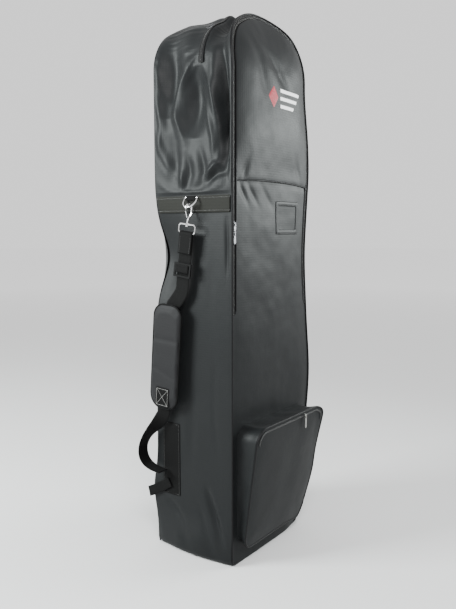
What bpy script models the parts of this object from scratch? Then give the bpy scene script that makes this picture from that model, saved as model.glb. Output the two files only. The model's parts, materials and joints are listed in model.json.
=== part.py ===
"""Golf travel case: a soft, free-standing cover for a golf bag, closed by zips, with a shoulder strap.

Metres, +Z up. The origin is the middle of the base on the floor, the front faces -Y, and the strap is on
the left, -X. Each moving body has an empty on its joint's axis, and its pieces are parented to that empty.
"""

import math

import bmesh
import bpy
from mathutils import Matrix, Vector

# ---------------------------------------------------------------- driving dimensions
WIDTH = 0.332
DEPTH = 0.222
HEIGHT = 1.27
SHOULDER_RADIUS = 0.105  # the arch's two corners
CROWN_RADIUS = 0.26  # the flatter arc between them
FABRIC = 0.0025  # coated cloth with its lining
WEBBING = 0.0014
WEBBING_WIDTH = 0.038
GAP = 0.0004  # between pieces that are sewn or rest against each other

LID_FOLD_Z = 0.59  # the front zip's lower ends, where the front panel folds down
SEAM_Z = 0.895  # the seam across the front panel
BAND_Z = (0.8225, 0.861)  # the webbing band round the sides
TOP_ZIP_Y = -0.029
TOP_ZIP_WIDTH = 0.015

POCKET_HALF_WIDTH = 0.1493
POCKET_Z = (0.043, 0.3345)
POCKET_DEPTH = (0.022, 0.062)  # at its bottom and at its top
POCKET_CORNER = 0.035
POCKET_ZIP_INSET = 0.0105

FRONT_ZIP_INSET = 0.0075  # from the case's outline to the coil
PIPING_RADIUS = 0.0020
LID_PIPING_INSET = 0.0152

STRAP_TOP = Vector((-0.187, -0.008, 0.832))  # the middle of the snap hook's bow
STRAP_FOOT = Vector((-0.187, 0.075, 0.200))  # where the lower webbing is held
D_RING_BAR = Vector((-0.1727, -0.004, 0.857))
D_RING_HALF_WIDTH = 0.018
D_RING_DROP = 0.027
D_RING_BEND = 0.019
D_RING_WIRE = 0.0019
D_RING_TILT = math.radians(35)
TAB_LENGTH = 0.030
TAB_WIDTH = 0.027

# ---------------------------------------------------------------- worked out from them
HALF_W = WIDTH / 2
HALF_D = DEPTH / 2
SHOULDER_X = HALF_W - SHOULDER_RADIUS
CROWN_CENTRE_Z = HEIGHT - CROWN_RADIUS
SPRING_Z = CROWN_CENTRE_Z + math.sqrt((CROWN_RADIUS - SHOULDER_RADIUS) ** 2 - SHOULDER_X**2)
ARCH_JOIN = math.atan2(SPRING_Z - CROWN_CENTRE_Z, SHOULDER_X)  # where a shoulder meets the crown
SHOULDER_STEPS = 8
CROWN_STEPS = 4
FRONT_Y = -HALF_D
BACK_Y = HALF_D

# Colours are linear RGB: (colour, roughness, metallic).
FINISHES = {
    "nylon": ((0.045, 0.048, 0.052), 0.62, 0.0),
    "webbing": ((0.022, 0.022, 0.020), 0.85, 0.0),
    "zip_tape": ((0.012, 0.012, 0.013), 0.8, 0.0),
    "piping": ((0.016, 0.016, 0.018), 0.55, 0.0),
    "chrome": ((0.75, 0.75, 0.76), 0.18, 1.0),
    "dark_metal": ((0.16, 0.16, 0.17), 0.35, 1.0),
    "black_plastic": ((0.02, 0.02, 0.02), 0.45, 0.0),
    "foam": ((0.10, 0.10, 0.11), 0.95, 0.0),
    "board": ((0.05, 0.05, 0.05), 0.8, 0.0),
    "clear_film": ((0.30, 0.32, 0.33), 0.15, 0.0),
    "red_thread": ((0.45, 0.03, 0.06), 0.6, 0.0),
    "white_thread": ((0.80, 0.80, 0.80), 0.6, 0.0),
}


# ---------------------------------------------------------------- helpers
def clear_scene():
    for obj in list(bpy.data.objects):
        bpy.data.objects.remove(obj, do_unlink=True)


def finish(name):
    """The material of that name, made on first use."""
    if name in bpy.data.materials:
        return bpy.data.materials[name]
    colour, roughness, metallic = FINISHES[name]
    material = bpy.data.materials.new(name)
    material.use_nodes = True
    shader = material.node_tree.nodes["Principled BSDF"]
    shader.inputs["Base Color"].default_value = (*colour, 1.0)
    shader.inputs["Roughness"].default_value = roughness
    shader.inputs["Metallic"].default_value = metallic
    return material


def pivot(name, location, parent=None):
    """An empty on a joint's axis. Pieces made with it are parented to it."""
    empty = bpy.data.objects.new(name, None)
    empty["world"] = tuple(location)
    empty.location = Vector(location)
    if parent:
        empty.parent = parent
        empty.location = Vector(location) - Vector(parent["world"])
    bpy.context.scene.collection.objects.link(empty)
    return empty


def place(name, data, material, at=None):
    """Links an object whose data is in world coordinates, moved so that its origin is its pivot's."""
    if at:
        data.transform(Matrix.Translation(-Vector(at["world"])))
    obj = bpy.data.objects.new(name, data)
    obj.data.materials.append(finish(material))
    if at:
        obj.parent = at
    bpy.context.scene.collection.objects.link(obj)
    return obj


def mesh_of(bm, name, smooth=False):
    bmesh.ops.recalc_face_normals(bm, faces=bm.faces)
    mesh = bpy.data.meshes.new(name)
    bm.to_mesh(mesh)
    bm.free()
    if smooth:
        mesh.shade_smooth()
        mesh.set_sharp_from_angle(angle=math.radians(35))
    return mesh


def bevelled(obj, width, segments=1):
    modifier = obj.modifiers.new("Bevel", "BEVEL")
    modifier.width = width
    modifier.segments = segments
    modifier.limit_method = "ANGLE"
    modifier.angle_limit = math.radians(40)
    return obj


def box(name, low, high, material, at=None, bevel=0.0):
    low, high = Vector(low), Vector(high)
    bm = bmesh.new()
    bmesh.ops.create_cube(bm, size=1.0)
    bmesh.ops.scale(bm, vec=high - low, verts=bm.verts)
    bmesh.ops.translate(bm, vec=(low + high) / 2, verts=bm.verts)
    obj = place(name, mesh_of(bm, name), material, at)
    return bevelled(obj, bevel) if bevel else obj


def slab(name, outline, thickness, material, at=None, bevel=0.0, segments=1):
    """A closed outline of 3-D points, extruded by the vector thickness."""
    bm = bmesh.new()
    face = bm.faces.new([bm.verts.new(point) for point in outline])
    grown = bmesh.ops.extrude_face_region(bm, geom=[face])
    moved = [item for item in grown["geom"] if isinstance(item, bmesh.types.BMVert)]
    bmesh.ops.translate(bm, vec=thickness, verts=moved)
    obj = place(name, mesh_of(bm, name), material, at)
    return bevelled(obj, bevel, segments) if bevel else obj


def sheet(name, edge_a, edge_b, thickness, material, at=None, closed=False, offset=0.0, smooth=True):
    """A strip of cloth between two edges of as many points each. offset -1 thickens it behind its faces."""
    bm = bmesh.new()
    a = [bm.verts.new(point) for point in edge_a]
    b = [bm.verts.new(point) for point in edge_b]
    count = len(a)
    for i in range(count if closed else count - 1):
        j = (i + 1) % count
        bm.faces.new((a[i], a[j], b[j], b[i]))
    mesh = bpy.data.meshes.new(name)
    bm.to_mesh(mesh)
    bm.free()
    obj = place(name, mesh, material, at)
    solidify = obj.modifiers.new("Solidify", "SOLIDIFY")
    solidify.thickness = thickness
    solidify.offset = offset
    solidify.use_even_offset = True
    if smooth:
        mesh.shade_smooth()
        mesh.set_sharp_from_angle(angle=math.radians(35))
    return obj


def ribbon(name, stations, width, thickness, material, at=None):
    """Flat webbing along stations, each a centre point and the direction of its width."""
    edge_a = [centre - across.normalized() * width / 2 for centre, across in stations]
    edge_b = [centre + across.normalized() * width / 2 for centre, across in stations]
    return sheet(name, edge_a, edge_b, thickness, material, at)


def tube(name, points, radius, material, at=None, closed=False, resolution=1, radii=None):
    """A round wire or cord along points. radii scales it point by point."""
    curve = bpy.data.curves.new(name, "CURVE")
    curve.dimensions = "3D"
    curve.bevel_depth = radius
    curve.bevel_resolution = resolution
    curve.use_fill_caps = True
    spline = curve.splines.new("POLY")
    spline.points.add(len(points) - 1)
    for i, point in enumerate(points):
        spline.points[i].co = (*point, 1.0)
        spline.points[i].radius = radii[i] if radii else 1.0
    spline.use_cyclic_u = closed
    spline.use_smooth = True
    return place(name, curve, material, at)


def meshed(obj):
    """The same object as a mesh, for a Boolean."""
    bpy.context.view_layer.update()
    graph = bpy.context.evaluated_depsgraph_get()
    mesh = bpy.data.meshes.new_from_object(obj.evaluated_get(graph))
    twin = bpy.data.objects.new(obj.name + "_mesh", mesh)
    twin.parent = obj.parent
    bpy.context.scene.collection.objects.link(twin)
    name = obj.name
    bpy.data.objects.remove(obj, do_unlink=True)
    twin.name = name
    bm = bmesh.new()
    bm.from_mesh(mesh)
    bmesh.ops.remove_doubles(bm, verts=bm.verts, dist=1e-6)
    bmesh.ops.recalc_face_normals(bm, faces=bm.faces)
    bm.to_mesh(mesh)
    bm.free()
    return twin


def combine(obj, other, operation):
    """A Boolean with a helper object, which is kept out of the model."""
    other.hide_render = True
    other.display_type = "WIRE"
    modifier = obj.modifiers.new(operation.title(), "BOOLEAN")
    modifier.operation = operation
    modifier.object = other
    return obj


def steps(start, end, count):
    return [start + (end - start) * i / count for i in range(count + 1)]


def arch(inset, foot):
    """The case's outline seen from the front, inset, as (x, z) from its left foot to its right foot."""
    shoulder, crown = SHOULDER_RADIUS - inset, CROWN_RADIUS - inset
    half = [(HALF_W - inset, foot)]
    for angle in steps(0, ARCH_JOIN, SHOULDER_STEPS):
        half.append((SHOULDER_X + shoulder * math.cos(angle), SPRING_Z + shoulder * math.sin(angle)))
    for angle in steps(ARCH_JOIN, math.pi / 2, CROWN_STEPS)[1:]:
        half.append((crown * math.cos(angle), CROWN_CENTRE_Z + crown * math.sin(angle)))
    return [(-x, z) for x, z in half[:-1]] + half[::-1]


def rounded_rectangle(half_w, low, high, radius_low, radius_high, count):
    """An outline as (x, z), anticlockwise seen from the front, from its lower right corner."""
    points = []
    corners = (
        (half_w - radius_low, low + radius_low, radius_low, -math.pi / 2),
        (half_w - radius_high, high - radius_high, radius_high, 0.0),
        (-half_w + radius_high, high - radius_high, radius_high, math.pi / 2),
        (-half_w + radius_low, low + radius_low, radius_low, math.pi),
    )
    for x, z, radius, start in corners:
        for angle in steps(start, start + math.pi / 2, count):
            points.append((x + radius * math.cos(angle), z + radius * math.sin(angle)))
    return points


def at_y(outline, y):
    return [Vector((x, y, z)) for x, z in outline]


# ---------------------------------------------------------------- the shell
def make_shell():
    thick = Vector((0, FABRIC, 0))
    slab("back_panel", at_y(arch(0, 0), BACK_Y - FABRIC), thick, "nylon")
    edge = FABRIC + GAP
    front, back = FRONT_Y + edge, BACK_Y - edge
    split = sum(BAND_Z) / 2
    for side, sign in (("left", -1), ("right", 1)):
        outer, inner = sorted((sign * HALF_W, sign * (HALF_W - FABRIC)))
        box(f"{side}_side_lower", (outer, front, edge), (inner, back, split - GAP), "nylon")
        box(f"{side}_side_upper", (outer, front, split), (inner, back, SPRING_Z - GAP), "nylon")
        band_in, band_out = HALF_W + GAP, HALF_W + GAP + WEBBING
        low, high = sorted((sign * band_in, sign * band_out))
        box(f"{side}_webbing_band", (low, front, BAND_Z[0]), (high, back, BAND_Z[1]), "webbing")
    crown = arch(0, SPRING_Z)[1:-1]
    zip_front, zip_back = TOP_ZIP_Y - TOP_ZIP_WIDTH / 2, TOP_ZIP_Y + TOP_ZIP_WIDTH / 2
    spans = {"crown_gusset_front": (front, zip_front - GAP), "crown_gusset_rear": (zip_back + GAP, back)}
    for name, (near, far) in spans.items():
        sheet(name, at_y(crown, near), at_y(crown, far), FABRIC, "nylon", offset=-1.0)
    board_inset = FABRIC + GAP
    box("base_panel", (-HALF_W, FRONT_Y, 0), (HALF_W, BACK_Y - FABRIC - GAP, FABRIC), "nylon")
    reach = board_inset + GAP
    low = (-HALF_W + reach, FRONT_Y + reach, board_inset)
    high = (HALF_W - reach, BACK_Y - reach, board_inset + FABRIC)
    box("base_board", low, high, "board")
    low = (-HALF_W, FRONT_Y, board_inset)
    box("front_lower_panel", low, (HALF_W, FRONT_Y + FABRIC, LID_FOLD_Z - 5 * GAP), "nylon")


def make_piping():
    foot = 2 * PIPING_RADIUS
    outset = GAP + PIPING_RADIUS
    outline = arch(PIPING_RADIUS, foot)
    tube("front_piping", at_y(outline, FRONT_Y - outset), PIPING_RADIUS, "piping")
    tube("back_piping", at_y(outline, BACK_Y + outset), PIPING_RADIUS, "piping")


# ---------------------------------------------------------------- the lid: the front panel above the fold
TAPE = 0.001
COIL_HALF_WIDTH = 0.0024
COIL = 0.0015
LID_INSET = 0.0130
FOLD_CLEARANCE = 0.004
LID_CORD = 0.0018  # the radius of the piping just inside the zip
WELT = 0.0022
WELT_REACH = (0.003, 0.006)  # below the seam and above it
PADDING = 0.006


def flat_band(name, inset_out, inset_in, foot, y, thickness, material, at=None):
    """A flat strip that follows the arch between two insets, thickened towards +Y."""
    outer, inner = at_y(arch(inset_out, foot), y), at_y(arch(inset_in, foot), y)
    return sheet(name, outer, inner, thickness, material, at, offset=1.0, smooth=False)


def make_front_zip(lid):
    zip_foot = LID_FOLD_Z + FOLD_CLEARANCE
    y = FRONT_Y + GAP
    middle = FRONT_ZIP_INSET
    flat_band("front_zip_tape_case", GAP, middle - GAP, zip_foot, y, TAPE, "zip_tape")
    flat_band("front_zip_tape_lid", middle + GAP, LID_INSET - GAP, zip_foot, y, TAPE, "zip_tape", lid)
    coil_y = FRONT_Y - COIL
    outer, inner = middle - COIL_HALF_WIDTH, middle + COIL_HALF_WIDTH
    parting = (middle - GAP / 2, middle + GAP / 2)
    flat_band("front_zip_coil_case", outer, parting[0], zip_foot, coil_y, COIL, "black_plastic")
    flat_band("front_zip_coil_lid", parting[1], inner, zip_foot, coil_y, COIL, "black_plastic", lid)


def make_lid(lid):
    half = HALF_W - LID_INSET
    low = (-half, FRONT_Y, LID_FOLD_Z + 5 * GAP)
    box("front_mid_panel", low, (half, FRONT_Y + FABRIC, SEAM_Z - GAP / 2), "nylon", lid)
    upper = at_y(arch(LID_INSET, SEAM_Z + GAP / 2), FRONT_Y)
    slab("front_upper_panel", upper, Vector((0, FABRIC, 0)), "nylon", lid)
    welt_y, welt_half = FRONT_Y - GAP, HALF_W - LID_PIPING_INSET - 2 * LID_CORD
    low = (-welt_half, welt_y - WELT, SEAM_Z - WELT_REACH[0])
    box("seam_welt", low, (welt_half, welt_y, SEAM_Z + WELT_REACH[1]), "piping", lid)
    piping = arch(LID_PIPING_INSET, LID_FOLD_Z + 3 * FOLD_CLEARANCE)
    tube("lid_piping", at_y(piping, FRONT_Y - GAP - LID_CORD), LID_CORD, "piping", lid)
    padding = at_y(arch(LID_INSET + PADDING, SEAM_Z + 3 * PADDING), FRONT_Y + FABRIC + GAP)
    slab("hood_padding", padding, Vector((0, PADDING, 0)), "foam", lid)


ID_CENTRE = (0.062, 0.813)
ID_FRAME = (0.108, 0.080)
ID_WINDOW = (0.086, 0.058)
ID_BINDING = 0.0016
ID_FILM = 0.0008


def centred(centre, size):
    x, z = centre
    w, h = size[0] / 2, size[1] / 2
    return (x - w, z - h), (x + w, z + h)


def make_id_window(lid):
    face = FRONT_Y - GAP

    def plate(name, rectangle, near, far, material):
        (left, low), (right, high) = rectangle
        return box(name, (left, near, low), (right, far, high), material, lid)

    window = centred(ID_CENTRE, ID_WINDOW)
    frame = plate("id_window_frame", centred(ID_CENTRE, ID_FRAME), face - ID_BINDING, face, "webbing")
    through = 5 * ID_BINDING
    cutter = plate("id_window_cutter", window, face - through, face + through, "webbing")
    combine(frame, cutter, "DIFFERENCE")
    pane = centred(ID_CENTRE, (ID_WINDOW[0] - 2 * GAP, ID_WINDOW[1] - 2 * GAP))
    plate("id_window_film", pane, face - ID_FILM, face, "clear_film")


EMBLEM_CENTRE = (0.028, 1.09)
EMBLEM_THREAD = 0.0009
DIAMOND_OFFSET = -0.052  # its middle, from the emblem's
DIAMOND_HALF = (0.021, 0.027)
STRIPE_START = -0.024
STRIPE_HEIGHT = 0.009
STRIPE_PITCH = 0.018
STRIPE_SLANT = 0.006
STRIPES = (("top", 1, 0.098), ("middle", 0, 0.080), ("bottom", -1, 0.062))  # name, row, length


def make_emblem(lid):
    """A diamond beside three stripes, as raised embroidery."""
    y = FRONT_Y - GAP - EMBLEM_THREAD
    thread = Vector((0, EMBLEM_THREAD, 0))
    x, z = EMBLEM_CENTRE[0] + DIAMOND_OFFSET, EMBLEM_CENTRE[1]
    half_w, half_h = DIAMOND_HALF
    diamond = ((x - half_w, z), (x, z - half_h), (x + half_w, z), (x, z + half_h))
    slab("emblem_diamond", at_y(diamond, y), thread, "red_thread", lid)
    start = EMBLEM_CENTRE[0] + STRIPE_START
    for name, row, length in STRIPES:
        end, low = start + length, z + row * STRIPE_PITCH - STRIPE_HEIGHT / 2
        high = low + STRIPE_HEIGHT
        bar = ((start, low), (end, low), (end + STRIPE_SLANT, high), (start, high))
        slab(f"emblem_stripe_{name}", at_y(bar, y), thread, "white_thread", lid)


# ---------------------------------------------------------------- the front pocket
POCKET_STEPS = 4
FACE_SLOPE = (POCKET_DEPTH[1] - POCKET_DEPTH[0]) / (POCKET_Z[1] - POCKET_Z[0])


def pocket_face_y(z, out=0.0):
    return FRONT_Y - POCKET_DEPTH[0] - FACE_SLOPE * (z - POCKET_Z[0]) - out


def pocket_outline(inset):
    low, high = POCKET_Z[0] + inset, POCKET_Z[1] - inset
    radius = POCKET_CORNER - inset
    return rounded_rectangle(POCKET_HALF_WIDTH - inset, low, high, radius, radius, POCKET_STEPS)


def on_face(outline, out=0.0):
    return [Vector((x, pocket_face_y(z, out), z)) for x, z in outline]


def make_pocket():
    root_y = FRONT_Y - GAP
    outline = pocket_outline(0)
    inner = on_face(outline, -GAP)
    sheet("pocket_gusset", at_y(outline, root_y), inner, FABRIC, "nylon", closed=True, offset=-1.0)
    slab("pocket_face", on_face(outline), Vector((0, -FABRIC, 0)), "nylon")
    cord = 0.0018
    ring = pocket_outline(cord)
    tube("pocket_piping", on_face(ring, FABRIC + GAP + cord), cord, "piping", closed=True)
    # The zip follows the face's edge along its top and round both upper corners.
    count = POCKET_STEPS + 1

    def run(inset, out):
        return on_face(pocket_outline(inset)[count : 3 * count], out)

    near = FABRIC + GAP
    sheet("pocket_zip_tape", run(0.0045, near), run(0.0165, near), TAPE, "zip_tape", offset=1.0)
    near += TAPE + GAP
    middle = POCKET_ZIP_INSET
    edges = (middle - COIL_HALF_WIDTH, middle + COIL_HALF_WIDTH)
    sheet("pocket_zip_coil", run(edges[0], near), run(edges[1], near), COIL, "dark_metal", offset=1.0)


# ---------------------------------------------------------------- zip sliders
SLIDER_LENGTH = 0.011
SLIDER_WIDTH = 0.006
SLIDER_BASE = 0.0016
BRIDGE_WIDTH = 0.0026
BRIDGE_REACH = 0.0045
BRIDGE_TOP = 0.0048
PULL_THICK = 0.0012
PULL_HALF_WIDTH = 0.0037
PULL_BAR = 0.0018
PULL_HOLE = (0.0053, 0.0042)
PULL_PIVOT = (0.0009, 0.0027)  # along the slider and out from its foot: the crossbar in the bridge


def slider(name, foot, along, out, material, at):
    """A zip slider whose foot is at a point, with a bridge over it that holds its pull."""
    along, out = along.normalized(), out.normalized()
    across = along.cross(out)

    def spot(a, n, w):
        return foot + along * a + out * n + across * w

    half = SLIDER_LENGTH / 2
    neck = SLIDER_WIDTH * 0.36
    shield = ((-half, -neck), (-half, neck), (half * 0.4, SLIDER_WIDTH / 2), (half, SLIDER_WIDTH / 4))
    shield += ((half, -SLIDER_WIDTH / 4), (half * 0.4, -SLIDER_WIDTH / 2))
    base = slab(name, [spot(a, 0, w) for a, w in shield], out * SLIDER_BASE, material, at)
    foot_in, reach, inner, roof = SLIDER_BASE * 0.6, BRIDGE_REACH, BRIDGE_REACH - 0.0012, BRIDGE_TOP - 0.001
    staple = ((-reach, foot_in), (-reach, BRIDGE_TOP), (reach, BRIDGE_TOP), (reach, foot_in))
    staple += ((inner, foot_in), (inner, roof), (-inner, roof), (-inner, foot_in))
    side = [spot(a, n, -BRIDGE_WIDTH / 2) for a, n in staple]
    bridge = slab(name + "_bridge", side, across * BRIDGE_WIDTH, material, at)
    return combine(base, bridge, "UNION")


def pull_tab(name, foot, along, out, length, material, at):
    """A flat pull that hangs from the slider's bridge by its crossbar, against -along."""
    along, out = along.normalized(), out.normalized()
    across = along.cross(out)
    a0, n0 = PULL_PIVOT

    def spot(a, w, n=n0 - PULL_THICK / 2):
        return foot + along * a + out * n + across * w

    half, top = PULL_HALF_WIDTH, a0 + PULL_BAR / 2
    end = top - length
    outline = [(top, -half), (top, half), (end + half, half)]
    outline += [(end + half * (1 - math.sin(t)), half * math.cos(t)) for t in steps(0, math.pi, 6)[1:-1]]
    outline += [(end + half, -half)]
    tab = slab(name, [spot(a, w) for a, w in outline], out * PULL_THICK, material, at)
    high = a0 - PULL_BAR / 2
    low, hole, through = high - PULL_HOLE[0], PULL_HOLE[1] / 2, 5 * PULL_THICK
    corners = ((low, -hole), (low, hole), (high, hole), (high, -hole))
    square = [spot(a, w, n0 - through / 2) for a, w in corners]
    cutter = slab(name + "_hole", square, out * through, material, at)
    return combine(tab, cutter, "DIFFERENCE")


def pull_centre(foot, along, out):
    return foot + along.normalized() * PULL_PIVOT[0] + out.normalized() * PULL_PIVOT[1]


UP, OUT_FRONT = Vector((0, 0, 1)), Vector((0, -1, 0))
FRONT_SLIDERS = {"upper": (0.796, 0.017), "lower": (0.776, 0.026)}  # height, and its pull's length
POCKET_PULL_LENGTH = 0.032
POCKET_SLIDER_X = 0.054
TOP_SLIDER_ANGLE = math.radians(54)  # round the left shoulder, from the horizontal
RING_RADIUS = 0.0085
RING_WIRE = 0.0009


def make_front_sliders():
    x = -(HALF_W - FRONT_ZIP_INSET)
    for name, (z, length) in FRONT_SLIDERS.items():
        foot = Vector((x, FRONT_Y - COIL - GAP, z))
        body = pivot(f"front_{name}_slide", foot)
        slider(f"front_slider_{name}", foot, UP, OUT_FRONT, "dark_metal", body)
        swing = pivot(f"front_{name}_pull_swing", pull_centre(foot, UP, OUT_FRONT), body)
        pull_tab(f"front_pull_{name}", foot, UP, OUT_FRONT, length, "dark_metal", swing)


def make_pocket_slider():
    z = POCKET_Z[1] - POCKET_ZIP_INSET
    clearance = FABRIC + TAPE + COIL + 2 * GAP + FACE_SLOPE * SLIDER_LENGTH / 2 + 2 * GAP
    foot = Vector((POCKET_SLIDER_X, pocket_face_y(z, clearance), z))
    body = pivot("pocket_slide", foot)
    slider("pocket_slider", foot, UP, OUT_FRONT, "chrome", body)
    swing = pivot("pocket_pull_swing", pull_centre(foot, UP, OUT_FRONT), body)
    pull_tab("pocket_pull", foot, UP, OUT_FRONT, POCKET_PULL_LENGTH, "chrome", swing)


def make_top_slider():
    centre = Vector((-SHOULDER_X, TOP_ZIP_Y, SPRING_Z))
    out = Vector((-math.cos(TOP_SLIDER_ANGLE), 0, math.sin(TOP_SLIDER_ANGLE)))
    along = Vector((math.sin(TOP_SLIDER_ANGLE), 0, math.cos(TOP_SLIDER_ANGLE)))
    body = pivot("top_slider_arc", centre)
    foot = centre + out * (SHOULDER_RADIUS + 2 * GAP + COIL + GAP)
    slider("top_slider", foot, along, out, "dark_metal", body)
    hinge = pull_centre(foot, along, out)
    swing = pivot("top_ring_swing", hinge, body)
    middle = hinge - along * RING_RADIUS
    across = along.cross(out)
    ring = []
    for t in steps(0, 2 * math.pi, 20)[:-1]:
        ring.append(middle + (along * math.cos(t) + across * math.sin(t)) * RING_RADIUS)
    tube("top_ring_pull", ring, RING_WIRE, "dark_metal", swing, closed=True)


def make_top_zip():
    tape_y = (TOP_ZIP_Y - TOP_ZIP_WIDTH / 2 + GAP, TOP_ZIP_Y + TOP_ZIP_WIDTH / 2 - GAP)
    crown = arch(0, SPRING_Z)[1:-1]
    sheet("top_zip_tape", at_y(crown, tape_y[0]), at_y(crown, tape_y[1]), TAPE, "zip_tape", offset=-1.0)
    above = arch(-2 * GAP - COIL, SPRING_Z)[1:-1]
    edges = (TOP_ZIP_Y - COIL_HALF_WIDTH, TOP_ZIP_Y + COIL_HALF_WIDTH)
    sheet("top_zip_coil", at_y(above, edges[0]), at_y(above, edges[1]), COIL, "black_plastic", offset=-1.0)


# ---------------------------------------------------------------- the D-ring, the snap hook and the strap
DOWN = (STRAP_FOOT - STRAP_TOP).normalized()
OUTWARD = Vector((-1, 0, 0))
ACROSS = OUTWARD.cross(DOWN).normalized()  # across the webbing, towards the back
if ACROSS.y < 0:
    ACROSS = -ACROSS


def strap(out, down, across=0.0):
    """A point by its distances from the hook's bow: away from the case, down the strap, and back."""
    return STRAP_TOP + OUTWARD * out + DOWN * down + ACROSS * across


def make_d_ring():
    """A D hanging from its straight bar, and the webbing tab folded over that bar."""
    lean = Vector((-math.sin(D_RING_TILT), 0, -math.cos(D_RING_TILT)))
    back = Vector((0, 1, 0))
    half, bend = D_RING_HALF_WIDTH, D_RING_BEND
    straight = D_RING_DROP - bend
    points = [(-half, 0.0), (half, 0.0), (half, straight * 0.75)]
    points += [(half * math.cos(t), straight + bend * math.sin(t)) for t in steps(0, math.pi, 12)[1:-1]]
    points += [(-half, straight * 0.75)]
    wire = [D_RING_BAR + back * a + lean * d for a, d in points]
    turn = pivot("d_ring_tilt", D_RING_BAR)
    tube("d_ring", wire, D_RING_WIRE, "chrome", turn, closed=True, resolution=2)
    radius = D_RING_WIRE + GAP + WEBBING / 2
    fold = [(-radius, -TAB_LENGTH), (-radius, 0.0)]
    fold += [(-radius * math.cos(t), radius * math.sin(t)) for t in steps(0, math.pi, 6)[1:-1]]
    fold += [(radius, 0.0), (radius, -TAB_LENGTH / 5)]
    stations = [(D_RING_BAR + Vector((-a, 0, h)), back) for a, h in fold]
    ribbon("d_ring_tab", stations, TAB_WIDTH, WEBBING, "webbing")


HOOK_WIRE = 0.0021
BOW = 0.0105
POST_END = 0.041
EYE_TOP = 0.036
EYE_FOOT = 0.056
GATE_PIVOT = (0.0032, 0.0205)  # away from the case and down the strap, as for the gate's tip
GATE_TIP = (BOW - 0.0002, 0.0055)
GATE_WIRE = 0.0015
COLLAR_RADIUS = (0.0026, 0.0049)  # its bore and its outside
EYE_HALF_WIDTH = 0.0235
EYE_CORNER = 0.004
EYE_WIRE = 0.0018


def make_hook(swing):
    turn = pivot("hook_swivel", STRAP_TOP, swing)
    path = [(BOW * math.cos(t), -BOW * math.sin(t)) for t in steps(math.radians(-10), math.pi, 12)]
    path += [(-BOW, 0.010), (-0.006, 0.018), (-0.001, 0.024), (0.0, 0.027), (0.0, POST_END - 0.0030)]
    radii = [1.0] * len(path) + [1.75, 1.75]
    path += [(0.0, POST_END - 0.0028), (0.0, POST_END)]
    tube("snap_hook", [strap(a, d) for a, d in path], HOOK_WIRE, "chrome", turn, resolution=2, radii=radii)
    gate_turn = pivot("hook_gate_turn", strap(*GATE_PIVOT), turn)
    tube("hook_gate", [strap(*GATE_TIP), strap(*GATE_PIVOT)], GATE_WIRE, "chrome", gate_turn)
    make_eye(swing)


def make_eye(swing):
    """The swivel's collar round the hook's post, with the loop that holds the webbing."""
    collar = bmesh.new()
    bore, outside = COLLAR_RADIUS
    above, below = EYE_TOP - EYE_WIRE, EYE_TOP + EYE_WIRE - 0.0003
    rings = ((outside, above), (outside, below), (bore, below), (bore, above))
    verts = []
    for t in steps(0, 2 * math.pi, 12)[:-1]:
        turned = [(r * math.cos(t), d, r * math.sin(t)) for r, d in rings]
        verts.append([collar.verts.new(strap(a, d, w)) for a, d, w in turned])
    for i, here in enumerate(verts):
        there = verts[(i + 1) % len(verts)]
        for k in range(4):
            collar.faces.new((here[k], here[(k + 1) % 4], there[(k + 1) % 4], there[k]))
    eye = place("swivel_eye", mesh_of(collar, "swivel_eye"), "chrome", swing)
    half, corner = EYE_HALF_WIDTH, EYE_CORNER
    path = [(EYE_TOP, sum(COLLAR_RADIUS) / 2), (EYE_TOP, half - corner), (EYE_TOP + corner, half)]
    path += [(EYE_FOOT - corner, half), (EYE_FOOT, half - corner)]
    path += [(d, -w) for d, w in path[::-1]]
    loop = tube("swivel_eye_loop", [strap(0, d, w) for d, w in path], EYE_WIRE, "chrome", swing)
    combine(eye, meshed(loop), "UNION")


GLIDE_DOWN = 0.142
GLIDE_HALF = (0.0245, 0.0165)
GLIDE_THICK = 0.0036
GLIDE_RIM = 0.0046
GLIDE_BAR = 0.0056
GLIDE_NEAR = 0.0006  # its inner face, from the strap's axis
DOUBLED_TO = 0.104  # the sewn end of the webbing that goes round the eye
PAD_TOP, PAD_END = 0.228, 0.482
PAD_DRIFT = (0.031, 0.016)  # how far back its ends are from the strap's axis
PAD_HALF_WIDTH = 0.043
PAD_CORNERS = (0.030, 0.034)
PAD_THICK = 0.012
PATCH_SPAN = (0.204, 0.246)
PATCH_HALF_WIDTH = 0.020


def make_upper_webbing(swing):
    """From a sewn end down the outside, up round the eye's bar and down the inside to the pad."""
    layer = EYE_WIRE + GAP + WEBBING / 2
    profile = [(layer, DOUBLED_TO), (layer, EYE_FOOT)]
    profile += [(layer * math.cos(t), EYE_FOOT - layer * math.sin(t)) for t in steps(0, math.pi, 6)[1:-1]]
    profile += [(-layer, EYE_FOOT)]
    stations = [(strap(a, d), ACROSS) for a, d in profile]
    drift = ((0.188, 0.0), (0.200, 0.004), (0.212, 0.011), (0.224, 0.019), (0.236, 0.026), (0.262, 0.032))
    stations += [(strap(-layer, d, w), ACROSS) for d, w in drift]
    ribbon("strap_upper_webbing", stations, WEBBING_WIDTH, WEBBING, "webbing", swing)


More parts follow.
